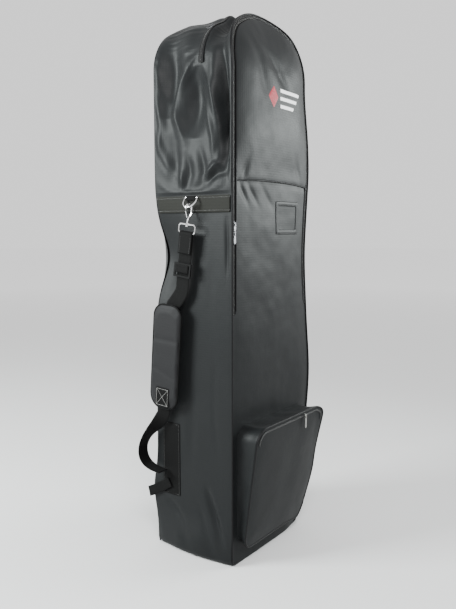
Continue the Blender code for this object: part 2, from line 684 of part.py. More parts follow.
def make_tri_glide(swing):
    middle = GLIDE_NEAR + GLIDE_THICK / 2
    slide = pivot("tri_glide_slide", strap(middle, GLIDE_DOWN), swing)
    half_w, half_h = GLIDE_HALF
    bar = GLIDE_BAR / 2

    def plate(name, low, high, half, depth):
        corners = ((low, -half), (low, half), (high, half), (high, -half))
        outline = [strap(middle - depth / 2, GLIDE_DOWN + d, w) for d, w in corners]
        return slab(name, outline, OUTWARD * depth, "black_plastic", slide)

    frame = plate("tri_glide", -half_h, half_h, half_w, GLIDE_THICK)
    slot_w, through = WEBBING_WIDTH / 2 + 3 * GAP, 3 * GLIDE_THICK
    for name, low, high in (("upper", -half_h + GLIDE_RIM, -bar), ("lower", bar, half_h - GLIDE_RIM)):
        combine(frame, plate(f"tri_glide_slot_{name}", low, high, slot_w, through), "DIFFERENCE")
    layer = GLIDE_THICK / 2 + GAP + WEBBING / 2
    turn = layer + GAP / 2
    wrap = [(layer, -0.013), (layer, bar)]
    wrap += [(layer * math.cos(t), bar + turn * math.sin(t)) for t in steps(0, math.pi, 6)[1:-1]]
    wrap += [(-layer, bar), (-layer, -0.0075)]
    stations = [(strap(middle + a, GLIDE_DOWN + d), ACROSS) for a, d in wrap]
    ribbon("strap_sewn_end", stations, WEBBING_WIDTH, WEBBING, "webbing", slide)


def make_pad(swing):
    """The padded shoulder rest, leaning a little back from the strap's axis."""
    start, end = strap(-GAP, PAD_TOP, PAD_DRIFT[0]), strap(-GAP, PAD_END, PAD_DRIFT[1])
    down = (end - start).normalized()
    across = down.cross(OUTWARD).normalized()
    if across.y < 0:
        across = -across
    length = (end - start).length
    outline = rounded_rectangle(PAD_HALF_WIDTH, 0, length, *PAD_CORNERS, 4)
    points = [start + down * (length - z) + across * x for x, z in outline]
    slab("shoulder_pad", points, OUTWARD * PAD_THICK, "nylon", swing, bevel=0.0035, segments=2)
    (near, far), half = PATCH_SPAN, PATCH_HALF_WIDTH
    corners = ((near, -half), (near, half), (far, half), (far, -half))
    patch = [start + down * d + across * w + OUTWARD * (PAD_THICK + GAP) for d, w in corners]
    slab("pad_end_patch", patch, OUTWARD * WEBBING, "webbing", swing)


def make_lower_webbing(swing):
    """From under the pad's end out in a slack loop behind the case, and back to where it is held."""
    x = STRAP_TOP.x + 0.0028
    route = (
        ((x, 0.068, 0.392), (0, 1, 0.1)),
        ((x, 0.071, 0.362), (0, 1, 0.15)),
        ((x - 0.001, 0.079, 0.338), (-0.25, 1, 0.45)),
        ((x - 0.003, 0.093, 0.316), (-0.8, 0.75, 0.5)),
        ((x - 0.005, 0.112, 0.296), (-1, 0.35, 0.3)),
        ((x - 0.006, 0.130, 0.274), (-1, 0.1, 0.1)),
        ((x - 0.006, 0.141, 0.250), (-1, 0, 0)),
        ((x - 0.006, 0.140, 0.227), (-1, 0, 0)),
        ((x - 0.006, 0.128, 0.211), (-1, 0, 0)),
        ((x - 0.006, 0.110, 0.203), (-1, 0, 0)),
        ((x - 0.006, 0.092, 0.200), (-1, 0, 0)),
        ((x - 0.006, 0.075, 0.199), (-1, 0, 0)),
    )
    stations = [(Vector(point), Vector(across)) for point, across in route]
    ribbon("strap_lower_webbing", stations, WEBBING_WIDTH - 0.004, WEBBING, "webbing", swing)


def make_lower_anchor():
    """The webbing patch sewn to the side that holds the strap's foot, and the loose tail out of it."""
    x = -HALF_W - GAP
    low, high = (x - 2 * WEBBING, 0.040, 0.135), (x, 0.095, 0.318)
    box("lower_anchor_patch", low, high, "webbing")
    tail = (
        ((x - 0.0045, 0.070, 0.168), (0, 0.5, 1)),
        ((x - 0.0045, 0.088, 0.156), (0, 0.5, 1)),
        ((x - 0.0050, 0.104, 0.146), (0, 0.55, 1)),
        ((x - 0.0065, 0.121, 0.137), (0.1, 0.6, 1)),
        ((x - 0.0085, 0.136, 0.130), (0.2, 0.65, 1)),
    )
    stations = [(Vector(point), Vector(across)) for point, across in tail]
    ribbon("strap_tail", stations, 0.025, WEBBING, "webbing")


def make_strap():
    swing = pivot("strap_swing", STRAP_TOP)
    make_hook(swing)
    make_upper_webbing(swing)
    make_tri_glide(swing)
    make_pad(swing)
    make_lower_webbing(swing)
    make_lower_anchor()


def main():
    clear_scene()
    make_shell()
    make_piping()
    lid = pivot("lid_fold", (0, FRONT_Y, LID_FOLD_Z))
    make_lid(lid)
    make_front_zip(lid)
    make_id_window(lid)
    make_emblem(lid)
    make_pocket()
    make_top_zip()
    make_front_sliders()
    make_pocket_slider()
    make_top_slider()
    make_d_ring()
    make_strap()


main()
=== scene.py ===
"""The looks of the golf travel case: cloth, padding, piping, zips, webbing and hardware round its CAD.

Metres, +Z up, in the part's own frame: the front faces -Y and the shoulder strap is on the left, -X.
"""

import json
import math

import bmesh
import bpy
import numpy as np
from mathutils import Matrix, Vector, noise


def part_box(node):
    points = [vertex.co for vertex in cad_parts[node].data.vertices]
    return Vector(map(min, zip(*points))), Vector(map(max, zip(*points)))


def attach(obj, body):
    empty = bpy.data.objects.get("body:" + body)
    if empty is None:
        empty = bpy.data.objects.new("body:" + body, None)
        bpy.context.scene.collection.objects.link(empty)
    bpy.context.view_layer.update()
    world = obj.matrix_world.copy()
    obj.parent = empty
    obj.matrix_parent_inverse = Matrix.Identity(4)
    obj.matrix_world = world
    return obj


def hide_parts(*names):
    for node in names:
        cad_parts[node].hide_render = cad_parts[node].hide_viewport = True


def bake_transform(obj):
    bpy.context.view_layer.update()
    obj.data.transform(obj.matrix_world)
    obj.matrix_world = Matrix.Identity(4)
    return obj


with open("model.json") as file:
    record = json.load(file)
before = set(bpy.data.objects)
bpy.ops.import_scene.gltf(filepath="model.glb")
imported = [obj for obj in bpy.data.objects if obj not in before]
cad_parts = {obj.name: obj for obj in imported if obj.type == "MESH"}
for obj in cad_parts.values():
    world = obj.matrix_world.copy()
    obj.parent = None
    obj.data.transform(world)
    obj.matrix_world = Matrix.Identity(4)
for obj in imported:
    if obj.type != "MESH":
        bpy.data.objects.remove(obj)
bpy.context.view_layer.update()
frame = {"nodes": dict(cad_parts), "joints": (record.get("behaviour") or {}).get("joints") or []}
JOINTS = {joint["name"]: joint for joint in frame["joints"]}

# ---------------------------------------------------- sizes, read from the frame where it has them
HALF_W, BACK_Y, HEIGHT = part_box("back_panel")[1]
FRONT_Y = -BACK_Y
SHOULDER_RADIUS = 0.105
CROWN_RADIUS = 0.26
SHOULDER_X = HALF_W - SHOULDER_RADIUS
CROWN_Z = HEIGHT - CROWN_RADIUS
SPRING_Z = CROWN_Z + math.sqrt((CROWN_RADIUS - SHOULDER_RADIUS) ** 2 - SHOULDER_X**2)
JOIN = math.atan2(SPRING_Z - CROWN_Z, SHOULDER_X)
FOOT_RADIUS = 0.012  # the cloth's turn into the base
FOLD_Z = (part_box("front_lower_panel")[1].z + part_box("front_mid_panel")[0].z) / 2
SEAM_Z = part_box("front_mid_panel")[1].z
BAND_LOW, BAND_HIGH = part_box("left_webbing_band")[0].z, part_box("left_webbing_band")[1].z
TOP_ZIP_Y = (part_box("top_zip_tape")[0].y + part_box("top_zip_tape")[1].y) / 2
ZIP_INSET = 0.0075
LID_INSET = 0.0130
LID_PIPING_INSET = 0.0152
CLOTH = 0.0014
FORWARD = (0.0, -1.0, 0.0)
WEBBING = 0.0014
WEBBING_WIDTH = 0.038
CORD = 0.0021  # the piping's radius
STEP = 0.006  # the cloth's mesh


# ---------------------------------------------------- camera, floor and lights
def make_camera():
    camera = bpy.data.objects.new("camera", bpy.data.cameras.new("camera"))
    camera.data.lens = 38.93
    camera.location = (-1.351, -0.9665, 0.78)
    camera.rotation_euler = (math.radians(83.6765), 0.0, math.radians(-53.899))
    bpy.context.scene.collection.objects.link(camera)
    bpy.context.scene.camera = camera


def area_light(name, location, target, size, energy, colour=(1.0, 1.0, 1.0), spread=180.0):
    light = bpy.data.lights.new(name, "AREA")
    light.shape = "RECTANGLE"
    light.size, light.size_y = size
    light.energy = energy
    light.color = colour
    light.spread = math.radians(spread)
    obj = bpy.data.objects.new(name, light)
    obj.location = location
    obj.rotation_euler = (Vector(target) - obj.location).to_track_quat("-Z", "Y").to_euler()
    bpy.context.scene.collection.objects.link(obj)


def floor_material():
    """A pale floor, paler still in the distance: painted light, its colour darker near the case and paler
    further out to even out how the lamps' light falls off.
    """
    material, tree, principled = principled_material("floor", (0.6, 0.6, 0.6), 0.85)
    where = tree.nodes.new("ShaderNodeTexCoord")
    distance = tree.nodes.new("ShaderNodeVectorMath")
    distance.operation = "LENGTH"
    tree.links.new(where.outputs["Object"], distance.inputs[0])
    # painted light: the base colour rises with distance from the case, standing in for the lamps' falloff
    share = node(tree, "ShaderNodeMapRange", From_Min=1.0, From_Max=8.0, To_Min=0.58, To_Max=0.97)
    tree.links.new(distance.outputs["Value"], share.inputs["Value"])
    tree.links.new(share.outputs["Result"], principled.inputs["Base Color"])
    return material


def make_studio():
    scene = bpy.context.scene
    world = bpy.data.worlds.new("studio")
    world.use_nodes = True
    background = world.node_tree.nodes["Background"].inputs
    background["Color"].default_value = (1.0, 1.0, 1.0, 1.0)
    background["Strength"].default_value = 1.2
    scene.world = world
    cool = (0.94, 1.0, 0.99)
    area_light("front_box", (2.1, -1.75, 1.33), (0.0, 0.0, 1.04), (1.5, 0.5), 29.0, cool, spread=80.0)
    area_light("side_box", (-1.9, 1.35, 1.45), (0.0, 0.0, 1.02), (1.0, 0.9), 167.0, cool)
    area_light("key", (-1.7, -1.5, 2.3), (0.0, 0.0, 1.1), (0.8, 0.8), 88.0)
    bm = bmesh.new()
    bmesh.ops.create_circle(bm, cap_ends=True, segments=96, radius=30.0)
    mesh = bpy.data.meshes.new("floor")
    bm.to_mesh(mesh)
    bm.free()
    mesh.materials.append(floor_material())
    floor = bpy.data.objects.new("floor", mesh)
    floor.location.z = -0.0005
    scene.collection.objects.link(floor)


# ---------------------------------------------------- materials
def principled_material(name, colour, roughness, metallic=0.0, **sockets):
    """A material and its tree and shader. sockets are the shader's other inputs, with _ for a space."""
    material = bpy.data.materials.new(name)
    material.use_nodes = True
    tree = material.node_tree
    principled = tree.nodes["Principled BSDF"]
    principled.inputs["Base Color"].default_value = (*colour, 1.0)
    principled.inputs["Roughness"].default_value = roughness
    principled.inputs["Metallic"].default_value = metallic
    for socket, value in sockets.items():
        principled.inputs[socket.replace("_", " ")].default_value = value
    return material, tree, principled


def node(tree, kind, **inputs):
    made = tree.nodes.new(kind)
    for socket, value in inputs.items():
        made.inputs[socket.replace("_", " ")].default_value = value
    return made


def texture(tree, kind, source, **inputs):
    """A Noise or Wave texture over the coordinates from source."""
    made = node(tree, f"ShaderNodeTex{kind}", **inputs)
    tree.links.new(source, made.inputs["Vector"])
    return made


def vary(tree, principled, colour, amount, scale, source):
    """Uneven colour: the base colour drifts by amount, lighter and darker, at that scale."""
    drift = texture(tree, "Noise", source, Scale=scale, Detail=4.0, Roughness=0.6)
    mix = tree.nodes.new("ShaderNodeMix")
    mix.data_type = "RGBA"
    mix.inputs["A"].default_value = (*[c * (1 - amount) for c in colour], 1.0)
    mix.inputs["B"].default_value = (*[c * (1 + amount) for c in colour], 1.0)
    tree.links.new(drift.outputs["Fac"], mix.inputs["Factor"])
    tree.links.new(mix.outputs["Result"], principled.inputs["Base Color"])
    return drift


def bump(tree, principled, height, strength, distance):
    """Adds a bump under those already there."""
    made = node(tree, "ShaderNodeBump", Strength=strength, Distance=distance)
    tree.links.new(height, made.inputs["Height"])
    below = principled.inputs["Normal"].links
    if below:
        tree.links.new(below[0].from_socket, made.inputs["Normal"])
    tree.links.new(made.outputs["Normal"], principled.inputs["Normal"])


def weave(tree, source, pitch_u, pitch_v):
    """A plain weave's height from a map in metres: threads over and under each other."""
    heights = []
    for direction, pitch in (("X", pitch_u), ("Y", pitch_v)):
        wave = texture(tree, "Wave", source, Scale=0.05 / pitch, Distortion=0.4, Detail=1.0, Detail_Scale=2.0)
        wave.bands_direction = direction
        heights.append(wave.outputs["Fac"])
    both = tree.nodes.new("ShaderNodeMath")
    both.operation = "MULTIPLY"
    tree.links.new(heights[0], both.inputs[0])
    tree.links.new(heights[1], both.inputs[1])
    return both.outputs["Value"]


def roughen(tree, principled, drift, low, high):
    """Uneven gloss, which follows the uneven colour."""
    ranged = node(tree, "ShaderNodeMapRange", To_Min=low, To_Max=high)
    tree.links.new(drift.outputs["Fac"], ranged.inputs["Value"])
    tree.links.new(ranged.outputs["Result"], principled.inputs["Roughness"])


def cloth_material(name, colour, roughness, pitch, depth, crinkle, sheen, gloss):
    """Woven cloth: threads of that pitch, fine crinkles, uneven colour and a soft sheen."""
    sockets = {"Sheen_Weight": sheen, "Sheen_Roughness": 0.45, "Specular_IOR_Level": gloss}
    material, tree, principled = principled_material(name, colour, roughness, **sockets)
    where = tree.nodes.new("ShaderNodeTexCoord").outputs
    drift = vary(tree, principled, colour, 0.10, 9.0, where["Object"])
    roughen(tree, principled, drift, roughness - 0.06, roughness + 0.08)
    creases = texture(tree, "Noise", where["Object"], Scale=42.0, Detail=5.0, Roughness=0.55)
    bump(tree, principled, creases.outputs["Fac"], crinkle, 0.002)
    bump(tree, principled, weave(tree, where["UV"], *pitch), 0.35, depth)
    return material


def thread_material(name, colour):
    """Twisted thread."""
    material, tree, principled = principled_material(name, colour, 0.5, Sheen_Weight=0.2)
    where = tree.nodes.new("ShaderNodeTexCoord").outputs["Object"]
    vary(tree, principled, colour, 0.15, 160.0, where)
    wave = texture(tree, "Wave", where, Scale=90.0, Distortion=1.0, Detail=1.0)
    wave.bands_direction = "DIAGONAL"
    bump(tree, principled, wave.outputs["Fac"], 0.4, 0.0003)
    return material


def hard_material(name, shade, roughness, metallic, wear, gloss=0.5):
    """Metal or moulded plastic with handling marks and a fine grain. shade is a grey or a colour."""
    colour = shade if isinstance(shade, tuple) else (shade, shade, shade)
    material, tree, principled = principled_material(
        name, colour, roughness, metallic, Specular_IOR_Level=gloss)
    where = tree.nodes.new("ShaderNodeTexCoord").outputs["Object"]
    drift = vary(tree, principled, colour, wear, 55.0, where)
    roughen(tree, principled, drift, roughness * 0.7, min(1.0, roughness * 1.5))
    fine = texture(tree, "Noise", where, Scale=220.0, Detail=3.0)
    bump(tree, principled, fine.outputs["Fac"], 0.12, 0.0004)
    return material


def embroidery_material(name, colour):
    """Satin stitch: fine threads laid side by side."""
    material, tree, principled = principled_material(name, colour, 0.5, Specular_IOR_Level=0.2)
    where = tree.nodes.new("ShaderNodeTexCoord").outputs["Object"]
    wave = texture(tree, "Wave", where, Scale=110.0, Distortion=0.8, Detail=1.0)
    vary(tree, principled, colour, 0.10, 240.0, where)
    bump(tree, principled, wave.outputs["Fac"], 0.5, 0.0004)
    return material


# Woven cloths: colour, roughness, the threads' pitch each way and depth, crinkle, sheen and gloss.
CLOTHS = {
    "nylon": ((0.0063, 0.0070, 0.0074), 0.47, (0.0009, 0.0009), 0.0002, 0.22, 0.013, 0.105),
    "quilt": ((0.013, 0.013, 0.014), 0.75, (0.0010, 0.0010), 0.0002, 0.2, 0.03, 0.105),
    "pad": ((0.0086, 0.0086, 0.0093), 0.6, (0.0011, 0.0011), 0.0002, 0.25, 0.022, 0.105),
    "webbing": ((0.0084, 0.0087, 0.0070), 0.68, (0.0016, 0.0011), 0.0004, 0.1, 0.03, 0.105),
    "strap": ((0.0027, 0.0027, 0.0027), 0.7, (0.0016, 0.0011), 0.0004, 0.1, 0.007, 0.065),
    "tape": ((0.004, 0.004, 0.0043), 0.7, (0.0007, 0.0012), 0.0002, 0.1, 0.013, 0.105),
    "piping": ((0.0046, 0.0046, 0.005), 0.42, (0.0008, 0.0008), 0.0001, 0.2, 0.013, 0.105),
}
# Hard materials: grey or colour, roughness, metallic, wear and gloss.
HARD = {
    "coil": (0.010, 0.35, 0.0, 0.2, 0.35),
    "metal_coil": (0.062, 0.4, 1.0, 0.2),
    "chrome": (0.72, 0.16, 1.0, 0.06),
    "nickel": ((0.36, 0.36, 0.345), 0.28, 1.0, 0.12),
    "dark_metal": ((0.15, 0.15, 0.157), 0.32, 1.0, 0.15),
    "black_plastic": (0.0027, 0.45, 0.0, 0.15, 0.065),
    "film": ((0.012, 0.0133, 0.0133), 0.30, 0.0, 0.10, 0.35),
    "board": (0.035, 0.7, 0.0, 0.15),
}
MATERIALS = {name: cloth_material(name, *values) for name, values in CLOTHS.items()}
MATERIALS.update({name: hard_material(name, *values) for name, values in HARD.items()})
MATERIALS["thread"] = thread_material("thread", (0.013, 0.013, 0.013))
MATERIALS["light_thread"] = thread_material("light_thread", (0.19, 0.19, 0.18))
MATERIALS["red"] = embroidery_material("red", (0.24, 0.003, 0.014))
MATERIALS["white"] = embroidery_material("white", (0.75, 0.75, 0.75))


# ---------------------------------------------------- mesh helpers
def bell(value, centre, width):
    return np.exp(-(((value - centre) / width) ** 2))


def ramp(value, low, high):
    share = np.clip((value - low) / (high - low), 0.0, 1.0)
    return share * share * (3 - 2 * share)


def hump(share):
    """Rises from 0 to 1 and falls back as share goes from 0 to 1."""
    return np.sin(np.clip(share, 0, 1) * math.pi)


def wander(points, scale, seed):
    """Smooth noise at each point, from -1 to 1."""
    flat = points.reshape(-1, 3) * scale + seed
    values = [noise.noise(Vector(point)) for point in flat]
    return np.array(values).reshape(points.shape[:-1])


def lengths(points):
    """The distance along a line of points, at each of them."""
    gaps = np.linalg.norm(np.diff(points, axis=0), axis=1)
    return np.concatenate([[0.0], np.cumsum(gaps)])


def resample(points, step):
    """The same line with evenly spaced points, about step apart."""
    along = lengths(points[:, :3])
    count = max(2, round(along[-1] / step) + 1)
    spots = np.linspace(0.0, along[-1], count)
    return np.column_stack([np.interp(spots, along, points[:, k]) for k in range(points.shape[1])])


def smooth_line(points, step):
    """A Catmull-Rom curve through points, evenly spaced."""
    points = np.asarray(points, float)
    ends = np.vstack([2 * points[0] - points[1], points, 2 * points[-1] - points[-2]])
    t = np.linspace(0.0, 1.0, 12, endpoint=False)[:, None]
    spans = []
    for a, b, c, d in zip(ends, ends[1:], ends[2:], ends[3:]):
        bend, twist = 2 * a - 5 * b + 4 * c - d, 3 * b - a - 3 * c + d
        spans.append(0.5 * (2 * b + (c - a) * t + bend * t**2 + twist * t**3))
    return resample(np.vstack(spans + [points[-1:]]), step)


def unit(vectors):
    return vectors / np.maximum(np.linalg.norm(vectors, axis=-1, keepdims=True), 1e-9)


def lay_map(mesh, uv):
    """Gives the mesh a map, one pair for each vertex, in metres."""
    layer = mesh.uv_layers.new(name="weave")
    corners = np.zeros(len(mesh.loops), np.int32)
    mesh.loops.foreach_get("vertex_index", corners)
    layer.data.foreach_set("uv", np.asarray(uv, np.float32).reshape(-1, 2)[corners].ravel())


def mesh_object(name, points, faces, uv=None):
    """A smooth-shaded mesh object."""
    mesh = bpy.data.meshes.new(name)
    mesh.from_pydata(np.asarray(points, float).reshape(-1, 3).tolist(), [], faces)
    mesh.shade_smooth()
    if uv is not None:
        lay_map(mesh, uv)
    obj = bpy.data.objects.new(name, mesh)
    bpy.context.scene.collection.objects.link(obj)
    return obj


def quads(rows, columns, wrap=False):
    index = np.arange(rows * columns).reshape(rows, columns)
    if wrap:
        index = np.column_stack([index, index[:, :1]])
    corners = (index[:-1, :-1], index[:-1, 1:], index[1:, 1:], index[1:, :-1])
    return np.stack(corners, axis=-1).reshape(-1, 4).tolist()


def end_faces(rows, columns):
    """The faces that close both ends of a wrapped grid."""
    last = (rows - 1) * columns
    return [list(range(columns))[::-1], list(range(last, last + columns))]


def grid(name, points, wrap=False):
    """A sheet over rows by columns of points. Its map runs along the columns and then the rows, in metres."""
    rows, columns = points.shape[:2]
    across = lengths(points[rows // 2])
    along = lengths(points[:, columns // 2])
    uv = np.stack(np.meshgrid(across, along), axis=-1)
    return mesh_object(name, points, quads(rows, columns, wrap), uv)


def thicken(obj, thickness, offset=-1.0, levels=1):
    """Gives a sheet its thickness and rounds its mesh."""
    solid = obj.modifiers.new("Solidify", "SOLIDIFY")
    solid.thickness = thickness
    solid.offset = offset
    if levels:
        subdivision = obj.modifiers.new("Subdivision", "SUBSURF")
        subdivision.levels = subdivision.render_levels = levels
    return obj


def ride(obj, material, body, slot, *replaced):
    obj.data.materials.append(MATERIALS[material])
    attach(obj, body)
    if replaced:
        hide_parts(*replaced)
    return obj


def tube(name, points, radius, sides=10, closed=False):
    """A round cord as a mesh, its ends rounded off."""
    ahead, behind = np.roll(points, -1, axis=0), np.roll(points, 1, axis=0)
    tangent = unit(ahead - behind if closed else np.gradient(points, axis=0))
    side = np.cross(tangent[0], (0.31, 0.47, 0.83))
    sides_at = []
    for direction in tangent:
        side = side - direction * side.dot(direction)
        side = side / np.linalg.norm(side)
        sides_at.append(side)
    side = np.array(sides_at)
    up = np.cross(tangent, side)
    twist = math.atan2(np.dot(up[-1], side[0]), np.dot(side[-1], side[0])) if closed else 0.0
    round_it = np.linspace(0, 2 * math.pi, sides, endpoint=False)
    angle = (round_it + np.linspace(0, -twist, len(points))[:, None])[..., None]
    ring = np.cos(angle) * side[:, None] + np.sin(angle) * up[:, None]
    rings = points[:, None] + ring * radius
    if closed:
        last = (len(points) - 1) * sides
        faces = quads(len(points), sides, wrap=True)
        faces += [[last + i, last + (i + 1) % sides, (i + 1) % sides, i] for i in range(sides)]
        return mesh_object(name, rings, faces)
    first, last = (rings[end] * 0.45 + points[end] * 0.55 + tangent[end] * sign * radius * 0.8
                   for end, sign in ((0, -1), (-1, 1)))
    rings = np.vstack([first[None], rings, last[None]])
    return mesh_object(name, rings, quads(len(rings), sides, wrap=True) + end_faces(len(rings), sides))


def ribbon(name, stations, width, thickness, step=0.004):
    """Webbing along stations, each a centre and the direction of its width, with soft selvedges."""
    stations = smooth_line(stations, step)
    centre, across = stations[:, :3], unit(stations[:, 3:6])
    normal = unit(np.cross(np.gradient(centre, axis=0), across))
    across = unit(np.cross(normal, unit(np.gradient(centre, axis=0))))
    half, lip = width / 2, thickness / 2
    spots = np.linspace(-half + lip, half - lip, 9)
    upper, lower = [(w, lip) for w in spots], [(w, -lip) for w in spots[::-1]]
    profile = np.array([(-half, 0.0), *upper, (half, 0.0), *lower])
    points = centre[:, None] + across[:, None] * profile[:, 0, None] + normal[:, None] * profile[:, 1, None]
    uv = np.stack(np.meshgrid(profile[:, 0], lengths(centre)), axis=-1)
    rows, count = len(centre), len(profile)
    faces = quads(rows, count, wrap=True) + end_faces(rows, count)
    return mesh_object(name, points, [face[::-1] for face in faces], uv)


def beads(name, spots, forward, across, up, shape):
    """Small solids along a line. shape is each one's rings of (forward, across, up) points."""
    shape = np.array(shape)
    rings, around = shape.shape[:2]
    points = spots[:, None, None] + shape @ np.stack([forward, across, up], axis=1)[:, None]
    one = np.array(quads(rings, around, wrap=True))
    count = rings * around
    faces = []
    for base in range(0, len(spots) * count, count):
        faces += (one + base).tolist() + [[base + i for i in face] for face in end_faces(rings, around)]
    return mesh_object(name, points, faces)


def stitches(name, line, outward, pitch=0.0036, thick=0.0005):
    """A row of stitches along a line of points, on a surface that faces outward, everywhere or at each."""
    both = resample(np.column_stack([line, np.broadcast_to(outward, line.shape)]), pitch)
    centre, up = both[:, :3], unit(both[:, 3:])
    along = unit(np.gradient(centre, axis=0))
    length = 0.0026
    shape = [[(end * length, a * thick * (0.35 + 0.65 * size), b * thick * (0.4 + 0.6 * size))
              for a, b in ((-1, -0.2), (0, 0.9), (1, -0.2))]
             for end, size in ((-0.5, 0.0), (-0.3, 1.0), (0.3, 1.0), (0.5, 0.0))]
    return beads(name, centre, along, np.cross(along, up), up, shape)


# ---------------------------------------------------- the case's outline and how the cloth sits
def turn(x, z, radius, start, end, count):
    """Points round a centre from one angle to another."""
    angles = np.linspace(start, end, count)
    return np.column_stack([x + radius * np.cos(angles), z + radius * np.sin(angles)])


def arch(inset=0.0, foot=0.0, step=STEP, turned=False):
    """The outline seen from the front, from its left foot over the crown to its right foot: (x, z) rows.
    turned starts and ends it with the cloth's turn into the base."""
    half, quarter = HALF_W - inset, math.pi / 2
    parts = [[(half, foot)]]
    if turned:
        radius = FOOT_RADIUS - inset
        parts = [turn(half - radius, foot + radius, radius, -quarter, 0.0, 8)]
    parts.append(turn(SHOULDER_X, SPRING_Z, SHOULDER_RADIUS - inset, 0.0, JOIN, 40))
    parts.append(turn(0.0, CROWN_Z, CROWN_RADIUS - inset, JOIN, quarter, 30)[1:])
    right = np.vstack(parts)
    return resample(np.vstack([right[:-1] * (-1, 1), right[::-1]]), step)


def place(flat, y):
    """Points of (x, z) rows at a y."""
    return np.column_stack([flat[:, 0], np.broadcast_to(y, len(flat)), flat[:, 1]])


def outward_of(line):
    """The outline's outward directions, as (x, z) rows."""
    tangent = unit(np.gradient(line, axis=0))
    return np.column_stack([-tangent[:, 1], tangent[:, 0]])


def edge_distance(x, z):
    """How far inside the outline a point of the front is."""
    x = np.abs(x)
    straight = HALF_W - x
    angle = np.arctan2(z - CROWN_Z, x)
    shoulder = SHOULDER_RADIUS - np.hypot(x - SHOULDER_X, z - SPRING_Z)
    crown = CROWN_RADIUS - np.hypot(x, z - CROWN_Z)
    rounded = np.where(angle > JOIN, crown, np.where(x > SHOULDER_X, shoulder, straight))
    return np.where(z < SPRING_Z, straight, rounded)


WAIST_Z = 0.72


def settle(points):
    """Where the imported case's cloth sits. Its back corners pinch at the waist, its right shoulder leans in,
    the front's arch leans back and to the left, and the foot swells on the left and pulls in at the right."""
    x, y, z = np.moveaxis(np.array(points, float), -1, 0)
    left, right = ramp(-x, 0.03, HALF_W), ramp(x, 0.03, HALF_W)
    back, front = ramp(y, -0.02, BACK_Y), ramp(-y, 0.03, BACK_Y)
    waist, hip = back * bell(z, WAIST_Z, 0.085), right * front * bell(z, 0.41, 0.13)
    above_hip = 0.007 * bell(z, 0.93, 0.07) - 0.008 * bell(z, 0.72, 0.09)
    corner = ramp(x, 0.06, HALF_W) * front * (1 - ramp(z, 0.03, 0.17))
    foot = ramp(-x, 0.10, HALF_W) * hump((y - FRONT_Y) / (2 * BACK_Y)) * (1 - ramp(z, 0.03, 0.115))
    lean = np.clip((z - 1.13) / 0.14, 0.0, 1.1) ** 2 * ramp(-y, 0.012 - TOP_ZIP_Y, -FRONT_Y)
    lean *= 1 - 0.7 * ramp(x, -0.03, 0.11)
    shoulder = ramp(x, 0.0, HALF_W) * ramp(z, 0.99, 1.14)
    sideways = 0.026 * left * waist - 0.014 * right * waist + right * front * above_hip + 0.011 * hip
    sideways -= 0.018 * shoulder + 0.022 * corner + 0.012 * foot + 0.014 * lean
    backwards = 0.013 * left * back * bell(z, 0.14, 0.06) + 0.008 * corner + 0.034 * lean
    backwards -= 0.023 * left * waist + 0.012 * right * waist + 0.006 * hip
    up = 0.010 * front * bell(x, -0.02, 0.07) * ramp(z, 1.21, 1.26)
    return np.stack([x + sideways, y + backwards, z + up], axis=-1)


# ---------------------------------------------------- cloth simulation
def mesh_points(mesh):
    points = np.zeros(len(mesh.vertices) * 3, np.float32)
    mesh.vertices.foreach_get("co", points)
    return points.reshape(-1, 3).astype(float)


def evaluated(obj):
    """The obj as its modifiers leave it."""
    return obj.evaluated_get(bpy.context.evaluated_depsgraph_get())


def simulate(obj, frames, stiffness, bending, pinned=None, cut=None, pressure=0.0, gravity=1.0):
    """The obj's points after its cloth has moved. cut is its flat shape, where that is more than it spans."""
    scene = bpy.context.scene
    modifier = obj.modifiers.new("Cloth", "CLOTH")
    cloth = modifier.settings
    if cut is not None:
        obj.shape_key_add(name="Basis")
        key = obj.shape_key_add(name="cut")
        key.data.foreach_set("co", np.asarray(cut, np.float32).ravel())
        cloth.rest_shape_key = key
    if pinned is not None:
        group = obj.vertex_groups.new(name="pinned")
        group.add(np.flatnonzero(pinned).tolist(), 1.0, "REPLACE")
        cloth.vertex_group_mass = "pinned"
    cloth.quality = 5
    cloth.mass = 0.15
    cloth.tension_stiffness = cloth.compression_stiffness = stiffness
    cloth.shear_stiffness = stiffness / 3
    cloth.bending_stiffness = bending
    cloth.tension_damping = cloth.compression_damping = cloth.shear_damping = 8.0
    cloth.air_damping = 2.0
    cloth.use_pressure = pressure != 0
    cloth.uniform_pressure_force = pressure
    cloth.effector_weights.gravity = gravity
    modifier.point_cache.frame_start, modifier.point_cache.frame_end = 1, frames
    for current in range(1, frames + 1):
        scene.frame_set(current)
    points = mesh_points(evaluated(obj).data)
    obj.modifiers.remove(modifier)
    if cut is not None:
        obj.shape_key_clear()
    obj.vertex_groups.clear()
    scene.frame_set(1)
    return points


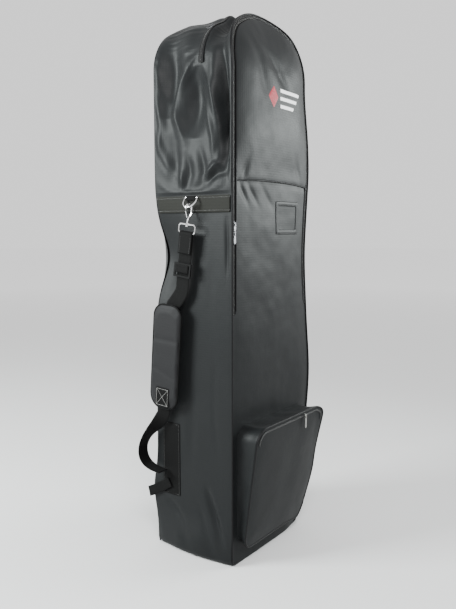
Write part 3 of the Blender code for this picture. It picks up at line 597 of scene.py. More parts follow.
# ---------------------------------------------------- the gusset: both sides and the crown
# Folds on the left side: the (y, z) points of each, its depth inwards, and its half width. A ridge has a
# negative depth.
LEFT_FOLDS = (
    (((-0.008, 1.150), (-0.010, 1.080), (-0.004, 0.990)), 0.023, 0.024),
    (((0.066, 1.225), (0.062, 1.140), (0.070, 1.040)), 0.021, 0.022),
    (((-0.018, 1.180), (0.036, 1.108), (0.046, 1.050), (0.022, 0.985)), -0.007, 0.009),
    (((-0.032, 1.150), (-0.058, 1.095), (-0.078, 1.017), (-0.082, 0.930)), -0.006, 0.006),
    (((-0.020, 1.100), (-0.042, 1.060), (-0.060, 0.990), (-0.062, 0.935)), -0.004, 0.006),
    (((-0.084, 1.200), (-0.089, 1.090), (-0.095, 1.000), (-0.098, 0.900)), 0.026, 0.013),
    (((0.100, 1.090), (0.094, 1.020), (0.098, 0.950)), -0.004, 0.010),
    (((0.064, 1.010), (0.046, 0.950), (0.056, 0.885)), 0.006, 0.014),
    (((-0.044, 0.900), (-0.060, 0.925), (-0.084, 0.932)), -0.006, 0.006),
    (((-0.040, 0.884), (-0.066, 0.906), (-0.096, 0.912)), 0.006, 0.007),
    (((0.020, 0.965), (0.006, 0.915), (0.018, 0.872)), 0.0045, 0.009),
    (((0.036, 0.935), (0.028, 0.900), (0.034, 0.870)), -0.004, 0.006),
    (((-0.022, 0.975), (-0.036, 0.915), (-0.022, 0.872)), 0.004, 0.008),
    (((-0.099, 0.820), (-0.101, 0.740), (-0.098, 0.640)), 0.006, 0.006),
    (((0.090, 0.820), (0.058, 0.740), (0.064, 0.640), (0.090, 0.560)), -0.005, 0.012),
    (((0.060, 0.815), (0.026, 0.730), (0.030, 0.620), (0.060, 0.520)), 0.006, 0.018),
    (((-0.040, 0.810), (-0.056, 0.700), (-0.048, 0.560), (-0.060, 0.420)), 0.004, 0.016),
    (((-0.070, 0.520), (-0.060, 0.380), (-0.074, 0.230)), 0.006, 0.014),
    (((0.020, 0.480), (0.004, 0.330), (0.020, 0.190)), 0.007, 0.020),
    (((-0.036, 0.190), (-0.062, 0.110), (-0.094, 0.034)), 0.010, 0.011),
    (((-0.008, 0.150), (-0.036, 0.080), (-0.070, 0.020)), 0.005, 0.012),
    (((0.084, 0.130), (0.040, 0.090), (0.010, 0.030)), 0.006, 0.012),
)


def near_line(y, z, corners):
    """Each (y, z)'s distance from a curve through corners, and how far along it that is, from 0 to 1."""
    line = smooth_line(corners, 0.02)
    along = lengths(line)
    best, nearest = np.full(y.shape, np.inf), np.zeros(y.shape)
    for start, end, before, after in zip(line, line[1:], along, along[1:]):
        run = end - start
        share = ((y - start[0]) * run[0] + (z - start[1]) * run[1]) / (run @ run)
        share = np.clip(share, 0.0, 1.0)
        gap = np.hypot(y - start[0] - share * run[0], z - start[1] - share * run[1])
        nearest = np.where(gap < best, (before + share * (after - before)) / along[-1], nearest)
        best = np.minimum(best, gap)
    return best, nearest


def fold_depths(y, z, folds):
    """The folds' depth at each (y, z) of a side. Each fades at both ends and throws up a slight lip."""
    total = np.zeros_like(y)
    for corners, depth, half in folds:
        gap, along = near_line(y, z, corners)
        lip = 0.16 * bell(gap, 2.0 * half, 0.8 * half)
        core = np.exp(-((gap / half) ** 1.2)) if depth < 0 else bell(gap, 0.0, 1.15 * half)
        total += depth * (core - lip) * (0.1 + 0.9 * np.sin(np.pi * along))
    return total


def limited(moved, most):
    """The moves, none longer than most."""
    size = np.linalg.norm(moved, axis=-1, keepdims=True)
    return moved * np.minimum(1.0, most / np.maximum(size, 1e-9))


def finer(points):
    """The same grid with a point between every two."""
    for axis in (0, 1):
        count = points.shape[axis]
        here, after = np.arange(count - 1), np.arange(1, count)
        middle = (np.take(points, here, axis) + np.take(points, after, axis)) / 2
        points = np.insert(points, after, middle, axis=axis)
    return points


def zip_rise(x):
    """How far the crown's zip stands above the outline past the run of its slider: a hump, then a dip."""
    return 0.012 * bell(x, -0.060, 0.018) - 0.017 * ramp(x, -0.052, -0.010)


def make_gusset():
    """The strip of cloth up one side, over the crown and down the other: simulated, then creased along listed
    folds.
    """
    line = arch(turned=True, foot=0.0012)
    depth = np.linspace(FRONT_Y - 0.0018, BACK_Y + 0.0020, round(2 * BACK_Y / STEP) + 1)
    rows, columns = len(line), len(depth)
    points = np.stack([place(line, y) for y in depth], axis=1)
    along = lengths(line)
    upper = ramp(points[..., 2], 0.86, 1.0)
    inner = np.minimum(depth - depth[0], depth[-1] - depth)
    free = ramp(inner, 0.0, 0.02)[None, :]
    seed = wander(points, 22.0, 3.1) * 0.6 + wander(points, 9.0, 7.7)
    outward = place(outward_of(line), 0.0)[:, None, :]
    over_spring = ramp(points[..., 2], SPRING_Z - 0.03, SPRING_Z + 0.02)
    sag = 0.004 * (seed - 1) * upper * free * (1 - bell(points[..., 1], TOP_ZIP_Y, 0.018) * over_spring)
    start = points + outward * sag[..., None]
    coarse = grid("gusset_cut", start)
    cut = np.stack([*np.meshgrid(along, depth, indexing="ij"), np.zeros((rows, columns))], axis=-1)
    cut[..., 1] *= 1.0 + 0.09 * upper
    held = (points[..., 2] < BAND_HIGH + 0.006) | (free < 0.02)
    ridge = (np.abs(depth - TOP_ZIP_Y) < 1.6 * STEP)[None, :] & (points[..., 2] > SPRING_Z)
    after = simulate(coarse, 24, 12.0, 0.15, pinned=held | ridge, cut=cut)
    bpy.data.objects.remove(coarse)
    start = points + limited(after.reshape(rows, columns, 3) - points, 0.020)
    start, points, outward = finer(start), finer(points), finer(outward * np.ones((1, columns, 1)))
    x, y, z = np.moveaxis(points, -1, 0)
    upper = ramp(z, 0.86, 1.0)
    free = ramp(np.minimum(y - FRONT_Y, BACK_Y - y), 0.0015, 0.012)
    folds = fold_depths(y, z, LEFT_FOLDS) * (x < -SHOULDER_X) * free
    folds += fold_depths(-y * 0.9, z * 0.98, LEFT_FOLDS) * 0.7 * (x > SHOULDER_X) * free
    folds *= ramp(np.abs(z - (BAND_LOW + BAND_HIGH) / 2), 0.019, 0.034)
    swell = 0.004 * free * (1 - upper) * hump(z / 0.86)
    ripple = 0.0016 * wander(points * (1, 1, 0.35), 26.0, 11.0) * free
    crown = ramp(z, SPRING_Z + 0.02, SPRING_Z + 0.09)
    front_span, rear_span = TOP_ZIP_Y - 0.010 - FRONT_Y, BACK_Y - TOP_ZIP_Y - 0.010
    share = np.where(y < TOP_ZIP_Y, (y - FRONT_Y) / front_span, (BACK_Y - y) / rear_span)
    hang = np.where(y < TOP_ZIP_Y, 0.018, -0.014) * hump(share) ** 0.8
    hang *= crown * (1 + 0.5 * wander(points, 16.0, 2.2))
    proud = swell + ripple - folds - hang
    beside_strap = ramp(z, 0.02, 0.08) * (1 - ramp(z, 0.84, 0.90)) * (x < 0)
    most, soft = -0.0008, 0.0012  # beside the strap the cloth stands no prouder than this, with a soft limit
    proud += beside_strap * (most - soft * np.logaddexp(0.0, (most - proud) / soft) - proud)
    # Room for the swivel eye, where the strap swings out.
    proud -= 0.0020 * bell(y, -0.016, 0.024) * bell(z, 0.79, 0.024) * (x < 0)
    moved = start + outward * proud[..., None]
    reach = np.where(y < TOP_ZIP_Y, 0.050, 0.085)
    moved[..., 2] += zip_rise(x) * crown * (1 - ramp(np.abs(y - TOP_ZIP_Y) / reach, 0.18, 1.0))
    obj = thicken(grid("gusset_cloth", settle(moved)), CLOTH)
    sides = [f"{side}_side_{part}" for side in ("left", "right") for part in ("lower", "upper")]
    ride(obj, "nylon", "case", "nylon", *sides, "crown_gusset_front", "crown_gusset_rear")


# ---------------------------------------------------- the front
def seam_z(x):
    """The front's cross seam, bowed a little upwards."""
    return SEAM_Z - 0.003 + 0.007 * (1 - (x / HALF_W) ** 2)


# A dent in the hood and the puckers at its seam: the depth, a point of the line, the line's slope, its half
# width, and the height and reach of its deepest part.
FRONT_DENTS = (
    (0.0040, -0.085, 1.20, 0.30, 0.016, 1.14, 0.055),
    (0.0036, -0.142, SEAM_Z, 0.65, 0.007, SEAM_Z - 0.028, 0.022),
    (0.0030, -0.112, SEAM_Z, 0.80, 0.008, SEAM_Z - 0.030, 0.022),
    (0.0018, -0.060, SEAM_Z, 0.90, 0.011, SEAM_Z - 0.034, 0.026),
    (0.0034, -0.128, SEAM_Z, -0.35, 0.009, SEAM_Z + 0.022, 0.022),
    (0.0022, 0.120, SEAM_Z, 0.50, 0.010, SEAM_Z + 0.030, 0.030),
)


def front_bulge(x, z):
    """How far the front cloth stands proud of the case's front plane."""
    x, z = np.asarray(x, float), np.asarray(z, float)
    inside = np.clip(edge_distance(x, z) - 0.008, 0.0, None)
    hood = ramp(z, SEAM_Z - 0.004, SEAM_Z + 0.004)
    above_seam = np.clip(z - SEAM_Z, 0.0, None)
    puffed = 0.018 * (1 - np.exp(-inside / 0.045)) * (0.42 + 0.58 * ramp(above_seam, 0.0, 0.12))
    packed = 0.0075 * (1 - np.exp(-inside / 0.040)) * (0.55 + 0.45 * bell(z, 0.45, 0.30))
    valley = bell(x + 0.004 - 0.875 * (1.154 - z), 0.0, 0.020)
    dents = 0.0060 * valley * ramp(z, 1.100, 1.140) * (1 - ramp(z, 1.15, 1.22))
    for depth, foot_x, foot_z, slope, half, middle, reach in FRONT_DENTS:
        dents += depth * bell(x - foot_x - slope * (foot_z - z), 0.0, half) * bell(z, middle, reach)
    points = np.stack([x, np.zeros_like(x), z], axis=-1)
    ripple = 0.0014 * wander(points, 13.0, 2.3) + 0.0006 * wander(points, 34.0, 5.9)
    ripple = ripple * (1 - np.exp(-inside / 0.02))
    return hood * puffed + (1 - hood) * packed - dents + ripple


def on_front(x, z, proud=0.0):
    """Points on the front's cloth, or proud of it."""
    return settle(np.stack([x, FRONT_Y - front_bulge(x, z) - proud, z], axis=-1))


def half_width(z, inset):
    """The outline's half width at a height."""
    shoulder, crown = SHOULDER_RADIUS - inset, CROWN_RADIUS - inset
    over = np.clip(z - SPRING_Z, 0.0, None)
    round_side = SHOULDER_X + np.sqrt(np.clip(shoulder**2 - over**2, 0.0, None))
    round_top = np.sqrt(np.clip(crown**2 - (z - CROWN_Z) ** 2, 0.0, None))
    joined = z > SPRING_Z + shoulder * math.sin(JOIN)
    return np.where(joined, round_top, np.where(z > SPRING_Z, round_side, HALF_W - inset))


def make_front_cloth():
    """The front below the cross seam. It folds where the zip ends."""
    low, high = 0.0015, SEAM_Z + 0.014
    near_fold = np.linspace(FOLD_Z - 0.03, FOLD_Z + 0.03, 31)
    below, above = np.linspace(low, near_fold[0], 94), np.linspace(near_fold[-1], high, 46)
    z = np.concatenate([below[:-1], near_fold[:-1], above])
    inset = LID_INSET * ramp(z, FOLD_Z - 0.002, FOLD_Z + 0.005)
    x = (HALF_W - inset)[:, None] * np.linspace(-1.0, 1.0, 57)
    z = np.broadcast_to(z[:, None], x.shape)
    points = on_front(x, z, proud=-0.0020 * ramp(z, seam_z(x) - 0.010, seam_z(x) - 0.002))
    obj = thicken(grid("front_cloth", points[:, ::-1]), CLOTH)
    obj.data.materials.append(MATERIALS["nylon"])
    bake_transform(obj)
    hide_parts("front_lower_panel", "front_mid_panel")


def hood_grid(inset, foot_lift=0.0, rows=64, columns=57):
    """(x, z) over the front above the cross seam, closer together towards the top."""
    up = np.sin(np.linspace(0, math.pi / 2, rows))[:, None]
    height = SEAM_Z + up * (HEIGHT - inset - 0.0004 - SEAM_Z)
    x = half_width(height, inset) * np.linspace(-1.0, 1.0, columns)
    return x, height + (1 - up) ** 3 * (seam_z(x) - SEAM_Z + foot_lift)


def make_hood():
    """The front above the cross seam, and the quilted lining of its padding."""
    points = on_front(*hood_grid(LID_INSET, foot_lift=-0.002), proud=0.0012)
    obj = thicken(grid("hood_cloth", points[:, ::-1]), CLOTH)
    ride(obj, "nylon", "lid", "nylon", "front_upper_panel")
    x, z = hood_grid(LID_INSET + 0.010, foot_lift=0.014, rows=40, columns=41)
    pitch = 0.05
    rows, columns = (1 + np.cos(2 * math.pi * (x + sign * z) / pitch) for sign in (1, -1))
    y = FRONT_Y + 0.006 - 0.9 * front_bulge(x, z) - 0.003 * rows * columns / 4
    lining = thicken(grid("hood_padding_quilt", settle(np.stack([x, y, z], axis=-1))), 0.004, offset=0.0)
    ride(lining, "quilt", "lid", "foam", "hood_padding")


def make_seam():
    """The hood's hem over the cross seam, with its stitching."""
    half = HALF_W - LID_PIPING_INSET - 0.002
    x = np.linspace(-half, half, 90)
    hem = on_front(x, seam_z(x) - 0.0010, proud=0.0022)
    ride(tube("seam_hem", hem, 0.0013, sides=8), "piping", "lid", "piping", "seam_welt")
    line = stitches("seam_stitches", on_front(x, seam_z(x) + 0.0055, proud=0.0017), FORWARD)
    ride(line, "thread", "lid", "piping")


def make_base():
    half_x, half_y = HALF_W - FOOT_RADIUS * 0.8, BACK_Y - 0.004
    x, y = np.meshgrid(np.linspace(-half_x, half_x, 40), np.linspace(-half_y, half_y, 28))
    z = 0.0010 + 0.0006 * (1 + wander(np.stack([x, y, x * 0], -1), 12.0, 4.4))
    obj = thicken(grid("base_cloth", settle(np.stack([x, y, z], axis=-1))[::-1]), 0.0008)
    ride(obj, "nylon", "case", "nylon", "base_panel")


def make_board():
    """The stiffening board inside the base, which has the base's own outline."""
    low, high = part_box("base_board")
    x, y = np.meshgrid(np.linspace(low.x, high.x, 30), np.linspace(low.y, high.y, 20))
    obj = grid("base_stiffener", settle(np.stack([x, y, np.full_like(x, high.z)], axis=-1)))
    thicken(obj, high.z - low.z, levels=0)
    ride(obj, "board", "case", "board", "base_board")


# Folds on the back: the (x, z) points of each, its depth inwards, and its half width.
BACK_FOLDS = (
    (((-0.130, 0.86), (-0.060, 0.79), (0.020, 0.76)), 0.006, 0.014),
    (((-0.140, 0.60), (-0.070, 0.66), (0.000, 0.68)), 0.005, 0.012),
    (((0.140, 0.90), (0.080, 0.80), (0.060, 0.66)), 0.005, 0.016),
    (((0.130, 0.52), (0.060, 0.60), (-0.010, 0.62)), 0.004, 0.014),
    (((-0.060, 1.20), (-0.030, 1.08), (-0.060, 0.95)), 0.005, 0.018),
    (((0.070, 1.18), (0.060, 1.06), (0.090, 0.94)), 0.005, 0.016),
    (((-0.100, 0.42), (-0.050, 0.30), (-0.080, 0.16)), 0.004, 0.018),
    (((0.110, 0.36), (0.060, 0.24), (0.080, 0.10)), 0.004, 0.018),
)


def make_back():
    """The back panel, slack and bulging past its piping at the waist."""
    arched = np.sin(np.linspace(0, math.pi / 2, 41)[1:]) * (HEIGHT - 0.0002 - SPRING_Z)
    z = np.concatenate([np.linspace(0.001, SPRING_Z, 210), SPRING_Z + arched])
    x = half_width(z, -0.0002)[:, None] * np.linspace(-1.0, 1.0, 61)
    z = np.broadcast_to(z[:, None], x.shape)
    inside = np.clip(edge_distance(x, z), 0.0, None)
    points = np.stack([x, np.full_like(x, BACK_Y), z], axis=-1)
    full = 0.010 * (1 - np.exp(-inside / 0.035)) * hump(z / HEIGHT) ** 0.5
    full += 0.035 * bell(z, WAIST_Z, 0.11) * bell(x, -0.118, 0.040)
    full += 0.0026 * wander(points, 11.0, 9.1) * (1 - np.exp(-inside / 0.03))
    full -= fold_depths(x, z, BACK_FOLDS) * (1 - np.exp(-inside / 0.01))
    moved = settle(points)
    moved[..., 1] += full
    obj = thicken(grid("back_cloth", moved), CLOTH)
    ride(obj, "nylon", "case", "nylon", "back_panel")


# ---------------------------------------------------- piping and zips
def make_piping():
    proud = 0.0022
    for side, y in (("front", FRONT_Y - proud), ("back", BACK_Y + proud)):
        line = place(arch(CORD, 0.0025, turned=True), y)
        under = np.linspace(line[-1], line[0], 40)[1:-1]
        loop = settle(np.vstack([line, under]))
        ride(tube(f"{side}_cord", loop, CORD, closed=True), "piping", "case", "piping", f"{side}_piping")
    line = settle(place(arch(LID_PIPING_INSET, FOLD_Z + 0.012), FRONT_Y - proud))
    ride(tube("lid_cord", line, 0.0019), "piping", "lid", "piping", "lid_piping")


def evenly(line, count):
    """So many of the line's points, evenly picked."""
    return line[np.linspace(0, len(line) - 1, count).round().astype(int)]


def flat_strip(name, inset_out, inset_in, foot, y):
    """A tape that follows the outline between two insets, facing the front."""
    count = len(arch(0.0, foot, 0.005))
    insets = np.linspace(inset_out, inset_in, 4)
    rows = [evenly(place(arch(inset, foot, 0.001), y), count) for inset in insets]
    return grid(name, settle(np.stack(rows, axis=1)))


TOOTH = 0.0022


def make_teeth(name, line, out, side):
    """One half of a coil zip, a bump for each turn of the coil. side points from its tape to the other."""
    out, side = np.broadcast_to(out, line.shape), np.broadcast_to(side, line.shape)
    both = resample(np.column_stack([line, out, side]), TOOTH)
    spots, up, over = both[:, :3], unit(both[:, 3:6]), unit(both[:, 6:9])
    width, height = 0.0024, 0.0016
    hump_shape = ((-1.0, 0.0), (-0.9, 0.8), (-0.2, 1.0), (0.6, 0.8), (1.0, 0.2), (0.8, 0.0))
    shape = [[(end * TOOTH, a * width / 2, b * height) for a, b in hump_shape] for end in (-0.36, 0.36)]
    return beads(name, spots, unit(np.gradient(spots, axis=0)), over, up, shape)


def make_front_zip():
    """The zip's case side and lid side, each with its tape, its row of stitches and its half of the coil."""
    foot, tape_y = FOLD_Z + 0.004, FRONT_Y - 0.0002
    for body, sign, edge, inner, sewn in (("case", 1, -0.0002, ZIP_INSET - 0.0002, 0.0048),
                                          ("lid", -1, ZIP_INSET + 0.0002, LID_INSET + 0.003, 0.0110)):
        tape = thicken(flat_strip(f"front_tape_{body}", edge, inner, foot, tape_y), 0.0008)
        ride(tape, "tape", body, "zip_tape", f"front_zip_tape_{body}")
        flat = arch(ZIP_INSET - sign * 0.0013, foot, 0.002)
        side = place(-sign * outward_of(flat), 0.0)
        teeth = make_teeth(f"front_teeth_{body}", settle(place(flat, tape_y - 0.0002)), FORWARD, side)
        ride(teeth, "coil", body, "zip_coil", f"front_zip_coil_{body}")
        line = settle(place(arch(sewn, foot, 0.003), tape_y - 0.0002))
        row = stitches(f"front_tape_stitches_{body}", line, FORWARD, pitch=0.0042)
        ride(row, "light_thread", body, "zip_tape")


def make_top_zip():
    flat = arch(0.0, SPRING_Z, 0.004)
    out = outward_of(flat)
    lifted = flat + out * 0.0016
    lifted[:, 1] += zip_rise(flat[:, 0])
    low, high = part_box("top_zip_tape")
    width = high.y - low.y
    rows = [place(lifted, TOP_ZIP_Y + w) for w in np.linspace(-width / 2, width / 2, 5)]
    tape = thicken(grid("top_tape", settle(np.stack(rows, axis=1))), 0.0010)
    ride(tape, "tape", "case", "zip_tape", "top_zip_tape")
    spot, up = settle(place(lifted + out * 0.0002, TOP_ZIP_Y)), place(out, 0.0)
    for name, sign in (("front", -1), ("rear", 1)):
        teeth = make_teeth(f"top_teeth_{name}", spot + (0, sign * 0.0013, 0), up, (0.0, -sign, 0.0))
        ride(teeth, "coil", "case", "zip_coil", *(("top_zip_coil",) if sign > 0 else ()))
        hem = stitches(f"top_tape_stitches_{name}", spot + (0, sign * width * 0.38, 0), up, pitch=0.004)
        ride(hem, "thread", "case", "zip_tape")


# ---------------------------------------------------- the front pocket
POCKET_LOW, POCKET_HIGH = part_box("pocket_gusset")
POCKET_HALF = POCKET_HIGH.x
POCKET_DEPTH = (0.022, 0.062)
POCKET_CORNER = 0.035
FACE_SLOPE = (POCKET_DEPTH[1] - POCKET_DEPTH[0]) / (POCKET_HIGH.z - POCKET_LOW.z)
POCKET_ZIP_INSET = 0.0105


def rounded(corners, step, count=16):
    """A closed outline with rounded corners, each the centre of its turn, its radius and its first angle."""
    parts = [turn(x, z, radius, math.radians(first), math.radians(first + 90), count)
             for x, z, radius, first in corners]
    return resample(np.vstack([*parts, parts[0][:1]]), step)[:-1]


def pocket_outline(inset, step=0.004):
    """The pocket's outline, anticlockwise seen from the front, from its lower right corner: (x, z) rows."""
    radius = POCKET_CORNER - inset
    half = POCKET_HALF - inset - radius
    low, high = POCKET_LOW.z + inset + radius, POCKET_HIGH.z - inset - radius
    return rounded(((half, low, radius, -90), (half, high, radius, 0), (-half, high, radius, 90),
                    (-half, low, radius, 180)), step)


def pocket_edge_distance(x, z):
    middle = (POCKET_LOW.z + POCKET_HIGH.z) / 2
    flat = (POCKET_HIGH.z - POCKET_LOW.z) / 2 - POCKET_CORNER
    over_x = np.abs(x) - (POCKET_HALF - POCKET_CORNER)
    over_z = np.abs(z - middle) - flat
    outside = np.hypot(np.clip(over_x, 0, None), np.clip(over_z, 0, None))
    return POCKET_CORNER - outside - np.minimum(np.maximum(over_x, over_z), 0)


def slouch(points):
    """The pocket leans out at its top right corner, past its slider's run, and sags at its foot."""
    points = np.array(points, float)
    x, y, z = points[..., 0], points[..., 1], points[..., 2]
    right, corner = ramp(x, 0.03, POCKET_HALF), ramp(x, 0.118, POCKET_HALF)
    proud = ramp(FRONT_Y - y, 0.0, 0.02)
    low, high = 1 - ramp(z, POCKET_LOW.z, 0.17), ramp(z, 0.20, POCKET_HIGH.z)
    points[..., 0] += proud * (0.011 * corner * high - 0.026 * right * low)
    points[..., 1] -= proud * (0.004 * corner * high - 0.006 * right * low)
    points[..., 2] -= proud * (0.005 + 0.011 * right) * low
    return points


def pocket_y(x, z, proud=0.0):
    """The pocket face's y, crowned in its middle and a little slack."""
    inside = np.clip(pocket_edge_distance(x, z), 0.0, None)
    crown = 0.007 * (1 - np.exp(-inside / 0.035))
    points = np.stack([x, np.zeros_like(x), z], axis=-1)
    slack = 0.0022 * wander(points, 12.0, 6.3) * (1 - np.exp(-inside / 0.02))
    return FRONT_Y - POCKET_DEPTH[0] - FACE_SLOPE * (z - POCKET_LOW.z) - crown - slack - proud


def on_pocket(flat, proud=0.0):
    """Points of (x, z) rows on the pocket's face, or proud of it, before it slouches."""
    return place(flat, pocket_y(flat[:, 0], flat[:, 1], proud))


def make_pocket():
    """The pocket's wall, its face, and the piping between them."""
    outline = pocket_outline(0.0)
    face, root = on_pocket(outline), place(outline, FRONT_Y + 0.004)
    inward = place(outward_of(outline), 0.0)  # the outline runs anticlockwise, so its outward_of faces in
    rows = []
    for share in np.linspace(0.0, 1.0, 9):
        middle = root + (face - root) * share
        hollow = 0.005 * hump(share) * (1 + 0.6 * wander(middle, 24.0, 8.8))
        rows.append(middle + inward * hollow[:, None])
    wall = grid("pocket_wall", slouch(np.stack(rows)), wrap=True)
    ride(thicken(wall, CLOTH), "nylon", "case", "nylon", "pocket_gusset")
    make_pocket_face()
    line = slouch(on_pocket(pocket_outline(0.0015), proud=0.0016))
    ride(tube("pocket_cord", line, 0.0018, closed=True), "piping", "case", "piping", "pocket_piping")


def make_pocket_face():
    radius, inset = POCKET_CORNER, 0.0005
    low, high = POCKET_LOW.z + inset, POCKET_HIGH.z - inset
    z = low + (high - low) * (1 - np.cos(np.linspace(0, math.pi, 46))) / 2
    over = np.maximum(np.maximum(POCKET_LOW.z + radius - z, z - (POCKET_HIGH.z - radius)), 0)
    half = POCKET_HALF - radius + np.sqrt(np.clip(radius**2 - over**2, 0, None)) - inset
    x = half[:, None] * np.sin(np.linspace(-math.pi / 2, math.pi / 2, 49))
    z = np.broadcast_to(z[:, None], x.shape)
    points = np.stack([x, pocket_y(x, z), z], axis=-1)
    obj = grid("pocket_cloth", slouch(points)[:, ::-1])
    ride(thicken(obj, CLOTH), "nylon", "case", "nylon", "pocket_face")


def pocket_zip_line(inset, proud):
    """The zip's line along the top and round both upper corners, from the right to the left."""
    outline = pocket_outline(inset, 0.002)
    foot = POCKET_HIGH.z - POCKET_CORNER - 0.004
    top = outline[outline[:, 1] > foot]
    top = top[np.argsort(np.arctan2(top[:, 1] - foot + 0.05, top[:, 0]))]
    return slouch(on_pocket(top, proud))


def make_pocket_zip():
    rows = [resample(pocket_zip_line(inset, 0.0010), 0.002) for inset in (0.0045, 0.0085, 0.0125, 0.0165)]
    rows = [evenly(row, min(map(len, rows))) for row in rows]
    tape = thicken(grid("pocket_tape", np.stack(rows, axis=1)[:, ::-1]), 0.0008)
    ride(tape, "tape", "case", "zip_tape", "pocket_zip_tape")
    line = pocket_zip_line(POCKET_ZIP_INSET, 0.0016)
    toward = unit((0.0, 0.0, (POCKET_LOW.z + POCKET_HIGH.z) / 2) - line * (1, 0, 1))
    for name, sign in (("upper", -1), ("lower", 1)):
        teeth = make_teeth(f"pocket_teeth_{name}", line + toward * sign * 0.0012, FORWARD, -toward * sign)
        ride(teeth, "metal_coil", "case", "zip_coil", *(("pocket_zip_coil",) if sign > 0 else ()))
    ride(stitches("pocket_stitches", pocket_zip_line(0.0190, 0.0006), FORWARD), "thread", "case", "nylon")


# ---------------------------------------------------- the card window and the emblem
def make_card_window():
    """The window's film, and the binding round it with two rows of stitches."""
    low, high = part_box("id_window_frame")
    inner_low, inner_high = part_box("id_window_film")
    lap = 0.003  # the film's edge under the binding
    x, z = np.meshgrid(np.linspace(inner_low.x - lap, inner_high.x + lap, 16),
                       np.linspace(inner_low.z - lap, inner_high.z + lap, 12))
    film = thicken(grid("card_film", on_front(x, z, 0.0007)[:, ::-1]), 0.0004)
    ride(film, "film", "lid", "clear_film", "id_window_film")
    corners = np.array(((0, 0), (1, 0), (1, 1), (0, 1), (0, 0)), float)
    steps = np.linspace(0.0, 1.0, 14)[:-1]
    around = np.vstack([a + (b - a) * steps[:, None] for a, b in zip(corners, corners[1:])])

    def ring(share, proud, around):
        """A line round the window, from the opening's edge at share 0 to the outer edge at 1."""
        near, far = (inner.xz * (1 - share) + outer.xz * share
                     for inner, outer in ((inner_low, low), (inner_high, high)))
        return on_front(*(np.array(near) + np.array(far - near) * around).T, proud)

    profile = ((0.0, 0.0006), (0.06, 0.0022), (0.5, 0.0024), (0.94, 0.0022), (1.0, 0.0004))
    binding = grid("card_binding", np.stack([ring(*row, around) for row in profile]), wrap=True)
    ride(thicken(binding, 0.0008), "nylon", "lid", "webbing", "id_window_frame")
    for name, share in (("inner", 0.2), ("outer", 0.82)):
        line = ring(share, 0.0027, np.vstack([around, around[:1]]))
        ride(stitches(f"card_stitches_{name}", line, FORWARD), "thread", "lid", "webbing")


def make_emblem():
    """A diamond beside three stripes, in raised satin stitch."""
    thick = 0.0008

    def raised(edge):
        """How proud the stitching stands. edge is 1 at its edges and 0 in its middle."""
        return 0.0016 + thick * (1 - edge**4)

    low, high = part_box("emblem_diamond")
    share = np.linspace(-1.0, 1.0, 15)
    a, b = np.meshgrid(share, share)
    middle, half = (low + high) / 2, (high - low) / 2
    x, z = middle.x + (a - b) / 2 * half.x, middle.z + (a + b) / 2 * half.z
    points = on_front(x, z, raised(np.maximum(np.abs(a), np.abs(b))))
    obj = thicken(grid("emblem_diamond_stitching", points[::-1]), thick)
    ride(obj, "red", "lid", "red_thread", "emblem_diamond")
    slant = 0.006
    for row in ("top", "middle", "bottom"):
        low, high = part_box(f"emblem_stripe_{row}")
        across, up = np.meshgrid(np.linspace(0, 1, 30), np.linspace(0, 1, 7))
        x = low.x + (high.x - slant - low.x + slant * up) * across
        points = on_front(x, low.z + (high.z - low.z) * up, raised(2 * up - 1))
        obj = thicken(grid(f"emblem_stripe_{row}_stitching", points[:, ::-1]), thick)
        ride(obj, "white", "lid", "white_thread", f"emblem_stripe_{row}")


# ---------------------------------------------------- webbing bands
def make_bands():
    for side, sign in (("left", -1), ("right", 1)):
        y = np.linspace(FRONT_Y + 0.002, BACK_Y - 0.002, 60)
        y, z = np.meshgrid(y, np.linspace(BAND_LOW, BAND_HIGH, 9))
        points = settle(np.stack([np.full_like(y, sign * (HALF_W + 0.0030)), y, z], axis=-1))
        points[..., 0] += sign * 0.0016 * hump((y - FRONT_Y) / (2 * BACK_Y))
        obj = thicken(grid(f"{side}_band", points[:, ::sign]), 0.0018)
        ride(obj, "webbing", "case", "webbing", f"{side}_webbing_band")
        for name, row in (("lower", 1), ("upper", 7)):
            line = points[row] + (sign * 0.0004, 0, 0)
            row = stitches(f"{side}_band_{name}_stitches", line, (sign, 0.0, 0.0))
            ride(row, "thread", "case", "webbing")


# ---------------------------------------------------- the strap and its hardware
STRAP_TOP = np.array(JOINTS["strap_swing"]["pos_m"])
DOWN = -np.array(JOINTS["strap_swing"]["axis"])
OUT = np.array((-1.0, 0.0, 0.0))
ACROSS = np.array((0.0, -DOWN[2], DOWN[1]))
EYE_FOOT = 0.056
GLIDE_DOWN = 0.142


def strap(out, down, across=0.0):
    """A point by its distances from the hook's bow: away from the case, down the strap, and back."""
    return STRAP_TOP + OUT * out + DOWN * down + ACROSS * across


def stations(profile):
    """Ribbon stations from (out, down) or (out, down, across) rows, with the width across the strap."""
    return [np.concatenate([strap(*row), ACROSS]) for row in profile]


def half_turn(radius, *middle):
    """Round a bar, from its outer side over the bottom to its inner side: (out, down) rows round middle,
    without the first and the last."""
    return turn(*middle, radius, 0.0, math.pi, 7)[1:-1].tolist()


LAYER = 0.0018 + 0.0004 + WEBBING / 2  # the middle of a layer of webbing that turns round a bar


